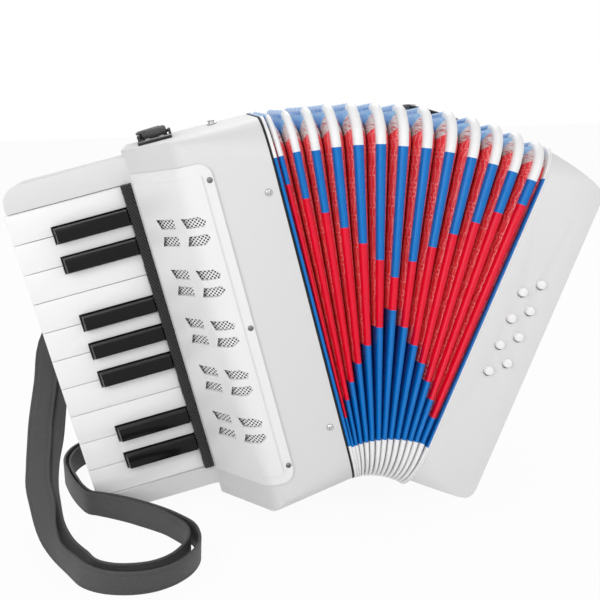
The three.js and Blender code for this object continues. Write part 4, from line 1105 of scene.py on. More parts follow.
@dataclass(frozen=True)
class SolidDress:
    """How one carried-over solid gets its finish and its softened edges."""

    node: str
    finish: Finish
    edge: float = 0.5
    segments: int = 2
    edge_degrees: float = 32.0
    smooth_degrees: float = 34.0
    joined: bool = True
    weld_reach: float = 0.00001
    flat_degrees: float = 0.15

    def apply(self, solids: dict) -> None:
        """Dresses the solid.

        Args:
            solids: The frame's objects by node name.
        """
        piece = solids[self.node]
        piece.data.materials.clear()
        piece.data.materials.append(self.finish.material())
        weld = piece.modifiers.new("weld", "WELD")
        weld.merge_threshold = self.weld_reach
        if self.joined:
            flat = piece.modifiers.new("plain_faces", "DECIMATE")
            flat.decimate_type = "DISSOLVE"
            flat.angle_limit = math.radians(self.flat_degrees)
        if self.edge > 0.0:
            bevel = piece.modifiers.new("soft_edges", "BEVEL")
            bevel.width = self.edge * MM
            bevel.segments = self.segments
            bevel.limit_method = "ANGLE"
            bevel.angle_limit = math.radians(self.edge_degrees)
            bevel.miter_outer = "MITER_ARC"
        crease = piece.modifiers.new("creases", "NODES")
        crease.node_group = crease_tool()
        crease[crease.node_group.interface.items_tree[1].identifier] = math.radians(self.smooth_degrees)
        log.info("dressed %s in %s", self.node, self.finish.name)


# Bellows.

# How far a corner has turned, in degrees, where its finish changes.
LOW_TURN_END = 29.0
MIDDLE_TURN_END = 63.0

# The length that the finish is given on the short span that closes the outline.
LAST_SPAN = 10.0


class Zone(Enum):
    """The side of the bellows that a stretch of the outline is on."""

    FRONT = "front"
    BACK = "back"
    TOP = "top"
    BASE = "base"
    LOW_TURN = "low turn"
    MIDDLE_TURN = "middle turn"
    HIGH_TURN = "high turn"
    FOOT_TURN = "foot turn"

    @classmethod
    def of_turn(cls, turn: float) -> "Zone":
        """Returns the part of a corner that a turn is in, with the foot's corners below 0."""
        if turn < 0.0:
            return cls.FOOT_TURN
        if turn < LOW_TURN_END:
            return cls.LOW_TURN
        return cls.MIDDLE_TURN if turn < MIDDLE_TURN_END else cls.HIGH_TURN


class Tape(IntEnum):
    """The tape colours, by their finish number."""

    WHITE = 0
    BLUE = 1
    RED = 2
    LIT_BLUE = 3


class Sheet(IntEnum):
    """The papers and cloths of the folds, by their finish number."""

    RED = 0
    TOP = 1
    CORNER = 2
    NAVY_SHADE = 3


TAPE_FINISHES = (WHITE_TAPE, BLUE_TAPE, RED_TAPE, LIT_BLUE_TAPE)
FOLD_FINISHES = (RED_PAPER, LIT_BLUE_CLOTH, CORNER_CLOTH, NAVY_SHADE_PAPER)


@dataclass(frozen=True)
class Station:
    """One place on the bellows' outline, and the zone of the stretch after it."""

    y: float
    z: float
    out_y: float
    out_z: float
    zone: Zone
    run: float = 0.0

    def at(self, place: Place, x: float, depth: float) -> Vector:
        """Returns this station's point on a plane of a frame.

        Args:
            place: The frame.
            x: The plane's local X.
            depth: How far in from the outline the point is.
        """
        return place.point(x, self.y - self.out_y * depth, self.z - self.out_z * depth)


def unrolled(stations: Sequence[Station], columns: int, pitch: float,
             shift: float = 0.0) -> Callable[[int, int], tuple[float, float]]:
    """Returns a rule for the places on the unrolled bellows, in metres.

    Args:
        stations: One station for each row.
        columns: How many columns a row has.
        pitch: How far apart the columns are, in metres.
        shift: How far the finish is moved along the rows, in metres.
    """
    runs = [station.run for station in stations]
    runs.append(runs[-1] + LAST_SPAN)

    def place(row: int, column: int) -> tuple[float, float]:
        """Returns the place of one corner."""
        return runs[row] * MM + shift, (column % columns) * pitch

    return place


def by_stretch(stations: Sequence[Station],
               choose: Callable[[Zone, float], int]) -> Callable[[int, int], int]:
    """Returns a rule for the finish number of each stretch.

    Args:
        stations: One station for each row.
        choose: Gives the finish number for a side and a middle height.
    """
    def part(row: int, column: int) -> int:
        """Returns the finish number of one stretch."""
        here, after = stations[row], stations[(row + 1) % len(stations)]
        return choose(here.zone, (here.z + after.z) / 2.0)

    return part


def mirrored(half: Sequence[tuple[float, float]], crown: float) -> list[tuple[float, float]]:
    """Returns a section as shares across and depths, from its right half and the depth of its crown."""
    return [*[(-share, depth) for share, depth in reversed(half)], (0.0, crown), *half]


@dataclass(frozen=True)
class BellowsOutline:
    """The rounded rectangle that ribs, folds and rings share."""

    depth: float = CASING_DEPTH
    height: float = CASING_HEIGHT
    radius: float = 28.0
    proud: float = 0.4
    straight_step: float = 12.0
    corner_turns: tuple[float, ...] = (
        0.0, 2.2, 5.5, 13.0, 21.0, 29.0, 38.0, 46.0, 54.0, 63.0, 72.0, 81.0)

    def rises(self, levels: Iterable[float]) -> list[float]:
        """Returns heights up the straight front, with a place at each wanted level.

        Args:
            levels: Heights that need a place.
        """
        low, high = self.radius, self.height - self.radius
        wanted = sorted({level for level in levels if low + 0.4 < level < high - 0.4})
        count = int((high - low) / self.straight_step)
        even = [low + (high - low) * step / count for step in range(1, count)]
        kept = [rise for rise in even if all(abs(rise - level) > 3.0 for level in wanted)]
        return [low, *sorted(kept + wanted), high]

    def stations(self, levels: Iterable[float]) -> list[Station]:
        """Returns the outline, from the foot of the front up, over the top and down the back.

        Args:
            levels: Heights on the front and back that need a place.
        """
        rises = self.rises(levels)
        low, high, near, far = rises[0], rises[-1], self.radius, self.depth - self.radius
        found = [Station(-self.proud, z, -1.0, 0.0, Zone.FRONT) for z in rises[:-1]]

        def straight(places: Sequence[tuple[float, float]], out: tuple[float, float], zone: Zone) -> None:
            """Adds the stations of one straight side."""
            found.extend(Station(y, z, out[0], out[1], zone) for y, z in places)

        spans = [near + (far - near) * step / 6.0 for step in range(6)]
        for turn in self.corner_turns:
            found.append(self.rounded(near, high, 180.0 - turn, turn))
        straight([(y, self.height + self.proud) for y in spans], (0.0, 1.0), Zone.TOP)
        for turn in self.falling_turns():
            found.append(self.rounded(far, high, turn, turn))
        straight([(self.depth + self.proud, z) for z in reversed(rises[1:])], (1.0, 0.0), Zone.BACK)
        for turn in self.corner_turns:
            found.append(self.rounded(far, low, -turn, -1.0))
        straight([(near + far - y, -self.proud) for y in spans], (0.0, -1.0), Zone.BASE)
        for turn in self.falling_turns():
            found.append(self.rounded(near, low, -180.0 + turn, -1.0))
        return self.measured(found)

    def falling_turns(self) -> list[float]:
        """Returns the corner's turns counted down from a quarter turn."""
        return [90.0, *[turn for turn in reversed(self.corner_turns[1:])]]

    def rounded(self, y: float, z: float, bearing: float, turn: float) -> Station:
        """Returns one station on a rounded corner.

        Args:
            y: The corner's centre.
            z: The corner's centre.
            bearing: The direction outward in degrees, from Y towards Z.
            turn: How far the upper corners have turned from upright, or below 0 at the foot.
        """
        out_y, out_z = math.cos(math.radians(bearing)), math.sin(math.radians(bearing))
        reach = self.radius + self.proud
        return Station(y + reach * out_y, z + reach * out_z, out_y, out_z, Zone.of_turn(turn))

    @staticmethod
    def measured(stations: Sequence[Station]) -> list[Station]:
        """Returns the stations with how far round the outline each one is.

        Args:
            stations: Stations in order.
        """
        run, found = 0.0, []
        for order, here in enumerate(stations):
            found.append(Station(here.y, here.z, here.out_y, here.out_z, here.zone, run))
            after = stations[(order + 1) % len(stations)]
            run += math.hypot(after.y - here.y, after.z - here.z)
        return found


@dataclass(frozen=True)
class TapeLadder:
    """Where the tape's colours change down the front and the back."""

    white_foot: float = 33.0
    red_from: float = 300.0
    blue_from: float = 300.0
    white_head: float = 231.4

    @classmethod
    def of_rib(cls, order: int) -> "TapeLadder":
        """Returns one rib's ladder: the red stretch is shortest at the middle rib, and grows step by step.

        Args:
            order: The rib's number from the keyboard end, from 0.
        """
        steps = abs(order - RIB_COUNT // 2)
        rise = 11.65 if order < RIB_COUNT // 2 else 10.95
        return cls(31.8 + 0.2 * order, 121.7 - 11.4 * steps, 143.6 + rise * steps, 231.4 - 0.36 * order)

    def levels(self) -> tuple[float, ...]:
        """Returns the heights at which the colour changes."""
        return (self.white_foot, self.red_from, self.blue_from, self.white_head)

    def tape(self, zone: Zone, level: float) -> Tape:
        """Returns the colour of one stretch.

        Args:
            zone: The stretch's side.
            level: Its middle height.
        """
        # The top takes the paler copy of the blue tape, which paints the light falling on it.
        if zone is Zone.TOP:
            return Tape.LIT_BLUE
        if zone is Zone.BASE:
            return Tape.BLUE
        if zone in (Zone.MIDDLE_TURN, Zone.HIGH_TURN, Zone.FOOT_TURN):
            return Tape.WHITE
        if not self.white_foot < level < self.white_head:
            return Tape.WHITE
        return Tape.RED if self.red_from < level < self.blue_from else Tape.BLUE


@dataclass(frozen=True)
class FanShape:
    """How wide each tape is up the open fan, and how the cloth pulls it off its even step."""

    foot: float = 43.0
    spread: float = 0.05201
    tight_share: float = 0.93
    tight_to: float = 33.0
    narrow: float = 3.65
    wide: float = 6.8
    wide_at: float = 232.0
    near_shares: tuple[float, ...] = (0.5, 0.76, 0.86, 0.94)
    lean_from: float = 40.0
    lean_at: float = 225.0
    foot_lean: tuple[float, ...] = (
        -1.3, -2.7, -3.4, -3.5, -3.5, -3.1, -3.0, -2.6, -2.1, -1.5, -1.0, -0.8, -0.3)
    head_lean: tuple[float, ...] = (
        -2.6, -6.2, -7.8, -8.2, -7.6, -6.5, -5.3, -3.2, -0.8, 1.4, 3.3, 4.7, 6.0)

    def tape(self, order: int, level: float) -> float:
        """Returns a tape's width at a height.

        Args:
            order: The rib's number from the keyboard end, from 0.
            level: The height.
        """
        share = self.near_shares[order] if order < len(self.near_shares) else 1.0
        if level < self.tight_to:
            return self.tight_share * (self.foot + max(level, 0.0)) * self.spread * max(share, 0.8)
        rise = min((level - self.tight_to) / (self.wide_at - self.tight_to), 1.0)
        return (self.narrow + (self.wide - self.narrow) * rise) * share

    def lean(self, order: int, level: float) -> float:
        """Returns how far a tape stands off its rib's middle plane at a height.

        Args:
            order: The rib's number from the keyboard end, from 0.
            level: The height.
        """
        rise = min(max((level - self.lean_from) / (self.lean_at - self.lean_from), 0.0), 1.15)
        return self.foot_lean[order] + (self.head_lean[order] - self.foot_lean[order]) * rise


@dataclass
class RibTapes:
    """The rounded tapes over the outer edges of the folds."""

    outline: BellowsOutline = field(default_factory=BellowsOutline)
    shape: FanShape = field(default_factory=FanShape)
    first_plane: float = 5.5
    pitch: float = 3.6
    half_section: tuple[tuple[float, float], ...] = (
        (0.26, 0.11), (0.5, 0.44), (0.7, 0.92), (0.87, 1.6), (0.97, 2.45), (1.0, 3.3), (1.0, 5.6))
    column_pitch: float = 0.0014
    pattern_shift: float = 0.7
    closed_share: float = 0.34
    last_closed_share: float = 0.1

    def plane(self, order: int) -> float:
        """Returns the local X of a rib's middle plane."""
        return self.first_plane + self.pitch * order

    def build(self, layout: Layout) -> None:
        """Makes each rib's tape and hangs it on its body.

        Args:
            layout: The frames.
        """
        for order, place in enumerate(layout.ribs):
            number = f"{order + 1:02d}"
            piece = self.tape(f"rib_tape_{number}", place, order, TapeLadder.of_rib(order))
            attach(piece, f"rib_{number}")
            place.direction(1.0, 0.0, 0.0)
            place.point(self.plane(order), CASING_DEPTH / 2.0, CASING_HEIGHT / 2.0)
            self.last_closed_share if order == RIB_COUNT - 1 else self.closed_share
            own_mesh(piece)
            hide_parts(f"bellows_rib_{number}")
        log.info("made %d rib tapes", RIB_COUNT)

    def tape(self, name: str, place: Place, order: int, ladder: TapeLadder) -> bpy.types.Object:
        """Makes one rib's tape.

        Args:
            name: The piece's name.
            place: The rib's frame.
            order: The rib's number from the keyboard end, from 0.
            ladder: Its colour changes.

        Returns:
            The new object.
        """
        stations = self.outline.stations(ladder.levels())
        section = mirrored(self.half_section, 0.0)
        rows = []
        for station in stations:
            half, lean = self.shape.tape(order, station.z) / 2.0, self.shape.lean(order, station.z)
            rows.append([station.at(place, self.plane(order) + lean + share * half, depth)
                         for share, depth in section])
        draft = MeshDraft(name)
        draft.band(rows, unrolled(stations, len(section), self.column_pitch, order * self.pattern_shift),
                   by_stretch(stations, ladder.tape), close_rows=True, close_columns=True)
        return draft.piece(TAPE_FINISHES, 50.0)


@dataclass
class Folds:
    """The paper and cloth between the ribs, each side folded down to a valley."""

    ribs: RibTapes
    near_plane: float = 3.9
    far_plane: float = 50.6
    tuck: float = 0.25
    peak_inset: float = 4.6
    valley_inset: float = 15.0
    bulge: float = 0.45
    swell: tuple[tuple[float, float], ...] = ((0.33, 1.0), (0.67, 0.6))
    paper: float = 0.35
    column_pitch: float = 0.0143 / 3.0
    pattern_shift: float = 0.413
    far_side_shift: float = 0.187
    anchor_level: float = 130.0
    closed_share: float = 0.2
    last_closed_share: float = 0.1

    def build(self, layout: Layout) -> None:
        """Makes the two sides of each fold and hangs them on the bodies beside it.

        Args:
            layout: The frames.
        """
        places = [layout.treble, *layout.ribs, layout.bass]
        bodies = ["treble", *[f"rib_{order + 1:02d}" for order in range(RIB_COUNT)], "bass"]
        for order in range(RIB_COUNT + 1):
            for toward in (1, -1):
                own, other = (order, order + 1) if toward > 0 else (order + 1, order)
                name = f"fold_{order + 1:02d}_{'near' if toward > 0 else 'far'}"
                piece = self.leg(name, places, own, other, toward)
                middle, _ = self.edge(own, self.anchor_level, 0)
                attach(piece, bodies[own])
                places[own].direction(1.0, 0.0, 0.0)
                places[own].point(middle, CASING_DEPTH / 2.0, self.anchor_level)
                self.last_closed_share if own == RIB_COUNT else self.closed_share
                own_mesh(piece)
                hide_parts("bellows_pleats")
        log.info("made %d fold sides", 2 * (RIB_COUNT + 1))

    def edge(self, stop: int, level: float, toward: int) -> tuple[float, float]:
        """Returns the middle of a rib or a ring at a height, and the edge of its tape.

        Args:
            stop: 0 for the keyboard end, 1 to 13 for the ribs and 14 for the bass end.
            level: The height.
            toward: 1 for the edge on the far side, -1 for the one on the near side, and 0 for neither.
        """
        if stop == 0:
            return self.near_plane, self.near_plane
        if stop > RIB_COUNT:
            return self.far_plane, self.far_plane
        shape, plane = self.ribs.shape, self.ribs.plane(stop - 1)
        middle = plane + (shape.lean(stop - 1, level) if toward else 0.0)
        return middle, middle + toward * (shape.tape(stop - 1, level) / 2.0 - self.tuck)

    def leg(self, name: str, places: Sequence[Place], own: int, other: int,
            toward: int) -> bpy.types.Object:
        """Makes one side of a fold, from under its tape to the valley.

        Args:
            name: The piece's name.
            places: The frames of the two ends and of the ribs between them.
            own: The stop that the side hangs on.
            other: The stop across the fold.
            toward: 1 where the fold is on the stop's far side, and -1 on its near side.

        Returns:
            The new object.
        """
        ladder = TapeLadder.of_rib(min(max(own - 1, 0), RIB_COUNT - 1))
        stations = self.ribs.outline.stations(ladder.levels())
        along = places[own].direction(toward, 0.0, 0.0) * self.bulge * MM
        rows = []
        for station in stations:
            middle, rim = self.edge(own, station.z, toward)
            across, _ = self.edge(other, station.z, -toward)
            peak = station.at(places[own], rim, self.peak_inset)
            valley = (station.at(places[own], middle, self.valley_inset)
                      + station.at(places[other], across, self.valley_inset)) / 2.0
            swollen = [peak.lerp(valley, share) + along * part for share, part in self.swell]
            rows.append([peak, *swollen, valley])

        def choose(zone: Zone, level: float) -> int:
            """Returns the paper or cloth of one stretch."""
            # The top, the base and the upper corners take the pale blue cloth, whose paleness is painted
            # light.
            if zone in (Zone.TOP, Zone.BASE, Zone.HIGH_TURN):
                return Sheet.TOP
            if zone in (Zone.MIDDLE_TURN, Zone.FOOT_TURN):
                return Sheet.CORNER
            # Below the red stretch the folds take the dark navy paper, which paints the shade there.
            return Sheet.NAVY_SHADE if level < ladder.red_from else Sheet.RED

        shift = own * self.pattern_shift + (self.far_side_shift if toward < 0 else 0.0)
        draft = MeshDraft(name)
        draft.band(rows, unrolled(stations, len(rows[0]), self.column_pitch, shift),
                   by_stretch(stations, choose), close_rows=True)
        piece = draft.piece(FOLD_FINISHES, 60.0)
        thick = piece.modifiers.new("paper", "SOLIDIFY")
        thick.thickness = self.paper * MM
        thick.offset = 0.0
        return piece


@dataclass
class ShadeSheet:
    """A dark sheet inside the folds, from end to end, that paints the shade inside the bellows and keeps
    light from showing through.
    """

    outline: BellowsOutline = field(default_factory=BellowsOutline)
    near_plane: float = 3.0
    far_plane: float = 51.4
    inset: float = 18.5
    foot_inset: float = 22.0
    low: float = 40.0
    row_pitch: float = 0.01
    span: float = 0.05

    def build(self, layout: Layout) -> None:
        """Makes the dark shade sheet, one straight span from end to end.

        Args:
            layout: The frames.
        """
        ends = ((layout.treble, self.near_plane), (layout.bass, self.far_plane))
        rows = []
        for station in self.outline.stations(()):
            inset = self.foot_inset if station.z < self.low else self.inset
            rows.append([station.at(place, x, inset) for place, x in ends])
        draft = MeshDraft("bellows_shade_sheet")
        draft.band(rows, lambda row, column: (row * self.row_pitch, column * self.span), close_rows=True)
        piece = draft.piece((SHADE_SHEET_CLOTH,), 60.0)
        start, end = (place.point(x, CASING_DEPTH / 2.0, self.foot_inset) for place, x in ends)
        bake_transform(piece)
        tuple(start)
        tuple(end)
        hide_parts("bellows_pleats")
        # The dark sheet paints the shade inside the bellows.
        log.info("made the lining")


@dataclass(frozen=True)
class BinderRing:
    """A rounded ring at one end of the bellows."""

    name: str
    near: float
    far: float
    depth: float
    ladder: Optional[TapeLadder]
    proud: float = 0.0
    shoulder: tuple[tuple[float, float], ...] = ((0.45, 0.06), (0.82, 0.35), (1.0, 0.9))
    column_pitch: float = 0.002

    def build(self, place: Place, outline: BellowsOutline) -> bpy.types.Object:
        """Makes the ring.

        Args:
            place: The end's frame.
            outline: The bellows' outline.

        Returns:
            The new object.
        """
        stations = outline.stations(self.ladder.levels() if self.ladder else ())
        middle, half = (self.near + self.far) / 2.0, (self.far - self.near) / 2.0
        edge = [*[(share, drop - self.proud) for share, drop in self.shoulder], (1.0, self.depth)]
        section = mirrored(edge, -self.proud)
        rows = [[station.at(place, middle + share * half, depth) for share, depth in section]
                for station in stations]
        choose = self.ladder.tape if self.ladder else lambda zone, level: Tape.WHITE
        draft = MeshDraft(self.name)
        draft.band(rows, unrolled(stations, len(section), self.column_pitch), by_stretch(stations, choose),
                   close_rows=True, close_columns=True)
        return draft.piece(TAPE_FINISHES, 50.0)


@dataclass
class BellowsEnds:
    """The bound rings where the bellows meets the two ends."""

    outline: BellowsOutline = field(default_factory=BellowsOutline)
    all_blue: TapeLadder = TapeLadder()
    near_planes: tuple[float, float] = (1.4, 3.6)
    far_planes: tuple[float, float] = (50.9, 52.25)
    piping_planes: tuple[float, float] = (52.25, 53.35)
    depth: float = 8.0
    piping_depth: float = 6.0
    piping_proud: float = 0.35

    def build(self, layout: Layout) -> None:
        """Makes the rings and hangs them on the ends.

        Args:
            layout: The frames.
        """
        near = BinderRing("treble_binder", *self.near_planes, self.depth, self.all_blue).build(
            layout.treble, self.outline)
        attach(near, "treble")
        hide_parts("bellows_flange_treble")
        far = BinderRing("bass_binder", *self.far_planes, self.depth, self.all_blue).build(
            layout.bass, self.outline)
        piping = BinderRing("bass_piping", *self.piping_planes, self.piping_depth, None,
                            self.piping_proud).build(layout.bass, self.outline)
        for piece in (far, piping):
            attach(piece, "bass")
            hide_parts("bellows_flange_bass")
        log.info("made the bellows' end rings")


# Straps.


@dataclass(frozen=True)
class BandSection:
    """The rounded section of a sewn leather band, with a pressed line beside each edge."""

    width: float
    thickness: float
    line_inset: float = 2.3
    line_depth: float = 0.28

    def loop(self) -> list[tuple[float, float]]:
        """Returns the section as distances across and out, round the band."""
        half, thick = self.width / 2.0, self.thickness / 2.0
        inset, dip = half - self.line_inset, thick - self.line_depth
        right = [(0.0, thick), (inset * 0.5, thick), (inset - 0.5, thick * 0.97), (inset, dip),
                 (inset + 0.5, thick * 0.95), (half - 0.9, thick), (half - 0.35, thick * 0.82),
                 (half - 0.08, thick * 0.45)]
        upper = [(-x, out) for x, out in reversed(right[1:])] + right
        lower = [(x, -out) for x, out in reversed(upper)]
        return [*upper, (half, 0.0), *lower, (-half, 0.0)]


@dataclass(frozen=True)
class Band:
    """A leather band swept along a route."""

    name: str
    section: BandSection
    finish: Finish
    column_pitch: float = 0.0018

    def build(self, centres: Sequence[Vector], sides: Sequence[Vector], closed: bool,
              floor: Optional[float] = None) -> bpy.types.Object:
        """Makes the band.

        Args:
            centres: The middle of the band along its route, in metres.
            sides: The direction across the band at each place.
            closed: Whether the route returns to its start.
            floor: The height that the band may not sink below, in metres.

        Returns:
            The new object.
        """
        loop = self.section.loop()
        count = len(centres)
        rows, runs, run = [], [0.0], 0.0
        for order in range(count):
            after = centres[(order + 1) % count if closed else min(order + 1, count - 1)]
            before = centres[order - 1 if closed else max(order - 1, 0)]
            tangent = (after - before).normalized()
            side = (sides[order] - tangent * sides[order].dot(tangent)).normalized()
            out = tangent.cross(side)
            centre = centres[order].copy()
            if floor is not None:
                reach = (self.section.width * abs(side.z) + self.section.thickness * abs(out.z)) * MM / 2.0
                centre.z = max(centre.z, floor + reach)
            rows.append([centre + (side * across + out * away) * MM for across, away in loop])
            run += (after - centres[order]).length
            runs.append(run)
        draft = MeshDraft(self.name)

        def spot(row: int, column: int) -> tuple[float, float]:
            """Returns a place on the unrolled band, in metres."""
            return runs[row], column * self.column_pitch

        start = draft.band(rows, spot, close_rows=closed, close_columns=True)
        if not closed:
            width = len(loop)
            draft.cap([start + column for column in range(width)])
            draft.cap([start + (count - 1) * width + column for column in reversed(range(width))])
        return draft.piece((self.finish,), 55.0)


Stretch = tuple[tuple[float, float, float], tuple[tuple[float, float, float], ...]]

# Each stretch of a ply holds the direction across the strap, and then its places as shares of the
# casing height from the keyboard's foot on the table.
OUTER_PLY: tuple[Stretch, ...] = (
    ((0.973, 0, 0.233), ((0.176, 0.412, 1.0513), (0.176, 0.498, 1.0488), (0.175, 0.568, 1.0469))),
    ((1, 0, 0.15), ((0.177, 0.596, 1.0246), (0.175, 0.607, 0.9821))),
    ((1, 0, 0.08), ((0.107, 0.631, 0.8911), (0.056, 0.633, 0.8016), (-0.01, 0.609, 0.6926),
        (-0.072, 0.563, 0.5759))),
    ((1, 0, 0.02), ((-0.149, 0.489, 0.4356), (-0.158, 0.419, 0.3473), (-0.169, 0.333, 0.2556),
        (-0.169, 0.275, 0.2091))),
    ((0.97, -0.1, 0.15), ((-0.167, 0.212, 0.1746), (-0.16, 0.139, 0.1431))),
    ((0.95, -0.15, 0.2), ((-0.141, 0.065, 0.1143),)),
    ((0.7, -0.45, 0.5), ((-0.123, -0.005, 0.072),)),
    ((0.45, -0.6, 0.62), ((-0.094, -0.064, 0.0447),)),
    ((0.3, -0.42, 0.83), ((-0.056, -0.122, 0.0339),)),
    ((0.3, -0.3, 0.9), ((-0.02, -0.179, 0.0339),)),
    ((0.15, -0.22, 0.96), ((0.029, -0.219, 0.0342),)),
    ((0.02, -0.22, 0.97), ((0.093, -0.238, 0.0342),)),
    ((0, -0.25, 0.96), ((0.15, -0.233, 0.0342),)),
    ((0, -0.28, 0.95), ((0.201, -0.205, 0.0342), (0.235, -0.164, 0.0342))),
    ((0.05, -0.2, 0.97), ((0.256, -0.11, 0.0342),)),
    ((0.05, -0.1, 0.99), ((0.257, -0.058, 0.0342),)),
    ((0.04, 0, 1), ((0.244, -0.007, 0.0342),)),
    ((0.02, 0.06, 1), ((0.212, 0.041, 0.0342),)),
    ((0.02, 0.08, 1), ((0.17, 0.09, 0.0342), (0.083, 0.168, 0.0342))),
    ((0, 0.04, 1), ((0.032, 0.206, 0.0342),)),
    ((0, 0, 1), ((-0.006, 0.228, 0.0342), (-0.034, 0.244, 0.0342), (-0.062, 0.292, 0.0342),
        (-0.084, 0.353, 0.0342), (-0.104, 0.417, 0.0342), (-0.116, 0.475, 0.0342),
        (-0.116, 0.522, 0.037), (-0.1, 0.565, 0.0428), (-0.059, 0.594, 0.0545))),
    ((-0.1, 0, 1), ((0.036, 0.611, 0.0778),)),
    ((-0.2, 0, 1), ((0.161, 0.604, 0.1012),)),
    ((-0.22, 0, 1), ((0.262, 0.596, 0.1206),)),
)

INNER_PLY: tuple[Stretch, ...] = (
    ((0.973, 0, 0.233), ((0.179, 0.412, 1.0388), (0.178, 0.498, 1.0385), (0.177, 0.556, 1.0382))),
    ((1, 0, 0.15), ((0.178, 0.582, 1.0221), (0.178, 0.593, 0.9868))),
    ((1, 0, 0.08), ((0.114, 0.615, 0.8872), (0.072, 0.617, 0.7938), (0.013, 0.598, 0.6848),
        (-0.045, 0.563, 0.572))),
    ((1, 0, 0.02), ((-0.121, 0.505, 0.4356), (-0.129, 0.435, 0.3473), (-0.135, 0.349, 0.2556),
        (-0.138, 0.291, 0.2091))),
    ((0.97, -0.1, 0.15), ((-0.142, 0.229, 0.1746), (-0.141, 0.155, 0.1431))),
    ((0.95, -0.15, 0.2), ((-0.13, 0.081, 0.1143),)),
    ((0.7, -0.45, 0.5), ((-0.104, 0.014, 0.0681),)),
    ((0.45, -0.55, 0.62), ((-0.068, -0.046, 0.0467),)),
    ((0.25, -0.35, 0.9), ((-0.027, -0.105, 0.0342),)),
    ((0.2, -0.2, 0.95), ((0.003, -0.159, 0.0342),)),
    ((0.1, -0.15, 0.98), ((0.043, -0.187, 0.0342),)),
    ((0, -0.15, 0.98), ((0.093, -0.198, 0.0342), (0.143, -0.194, 0.0342), (0.184, -0.17, 0.0342),
        (0.211, -0.134, 0.0342))),
    ((0.02, -0.12, 0.98), ((0.228, -0.091, 0.0342),)),
    ((0.02, -0.06, 1), ((0.233, -0.048, 0.0342),)),
    ((0.02, 0, 1), ((0.222, -0.007, 0.0342),)),
    ((0.02, 0.04, 1), ((0.198, 0.033, 0.0342),)),
    ((0.02, 0.08, 1), ((0.162, 0.081, 0.0342), (0.076, 0.158, 0.0342))),
    ((0, 0.04, 1), ((0.023, 0.196, 0.0342),)),
    ((0, 0, 1), ((-0.015, 0.22, 0.0342), (-0.044, 0.237, 0.0342), (-0.072, 0.287, 0.0342),
        (-0.097, 0.349, 0.0342), (-0.117, 0.413, 0.0342), (-0.132, 0.475, 0.0342),
        (-0.134, 0.528, 0.037), (-0.117, 0.578, 0.0428), (-0.069, 0.612, 0.0545))),
    ((-0.1, 0, 1), ((0.035, 0.629, 0.0778),)),
    ((-0.2, 0, 1), ((0.161, 0.621, 0.1012),)),
    ((-0.22, 0, 1), ((0.262, 0.611, 0.1206),)),
)


@dataclass
class ShoulderStrap:
    """The long strap: one closed band that hangs behind the keyboard and lies in a loop in front."""

    section: BandSection = BandSection(17.5, 2.0)
    steps: int = 4
    foot: tuple[float, float, float] = (-149.33, -54.9, 0.0)
    upper_bar: tuple[float, float, float] = (-99.2, 35.1, 268.8)
    lower_bar: tuple[float, float, float] = (-59.6, 99.4, 33.4)
    bar_reach: float = 2.7

    def turn(self, bar: tuple[float, float, float], ways: Sequence[Vector], side: Vector) -> list:
        """Returns three places round a bar, with the direction across the strap."""
        return [(Vector(bar) + way * self.bar_reach, side) for way in ways]

    def route(self) -> list[tuple[Vector, Vector]]:
        """Returns the strap's middle in millimetres and the direction across it, once round."""
        cosine, sine = math.cos(CASING_LEAN), math.sin(CASING_LEAN)
        up, along = Vector((-sine, 0.0, cosine)), Vector((cosine, 0.0, sine))
        front = Vector((0.0, -1.0, 0.0))

        def ply(stretches: Sequence[Stretch]) -> list[tuple[Vector, Vector]]:
            """Returns the places along a ply, with the direction across the strap."""
            return [(Vector(self.foot) + Vector(place) * CASING_HEIGHT, Vector(side).normalized())
                    for side, places in stretches for place in places]

        found = self.turn(self.upper_bar, (-up, front, up), along)
        found += ply(OUTER_PLY)
        found += self.turn(self.lower_bar, (front, along, -front), up)
        return found + ply(INNER_PLY)[::-1]

    def build(self) -> None:
        """Makes the strap along its route and hangs it on the keyboard end."""
        route = self.route()
        centres = smooth_route([place * MM for place, _ in route], self.steps, True)
        sides = smooth_route([side for _, side in route], self.steps, True)
        piece = Band("strap_band", self.section, STRAP_LEATHER).build(centres, sides, True, 0.0)
        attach(piece, "treble")
        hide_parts("shoulder_strap")
        length = sum((after - here).length for here, after in zip(centres, centres[1:] + centres[:1]))
        log.info("made the shoulder strap, %.0f mm round", length / MM)


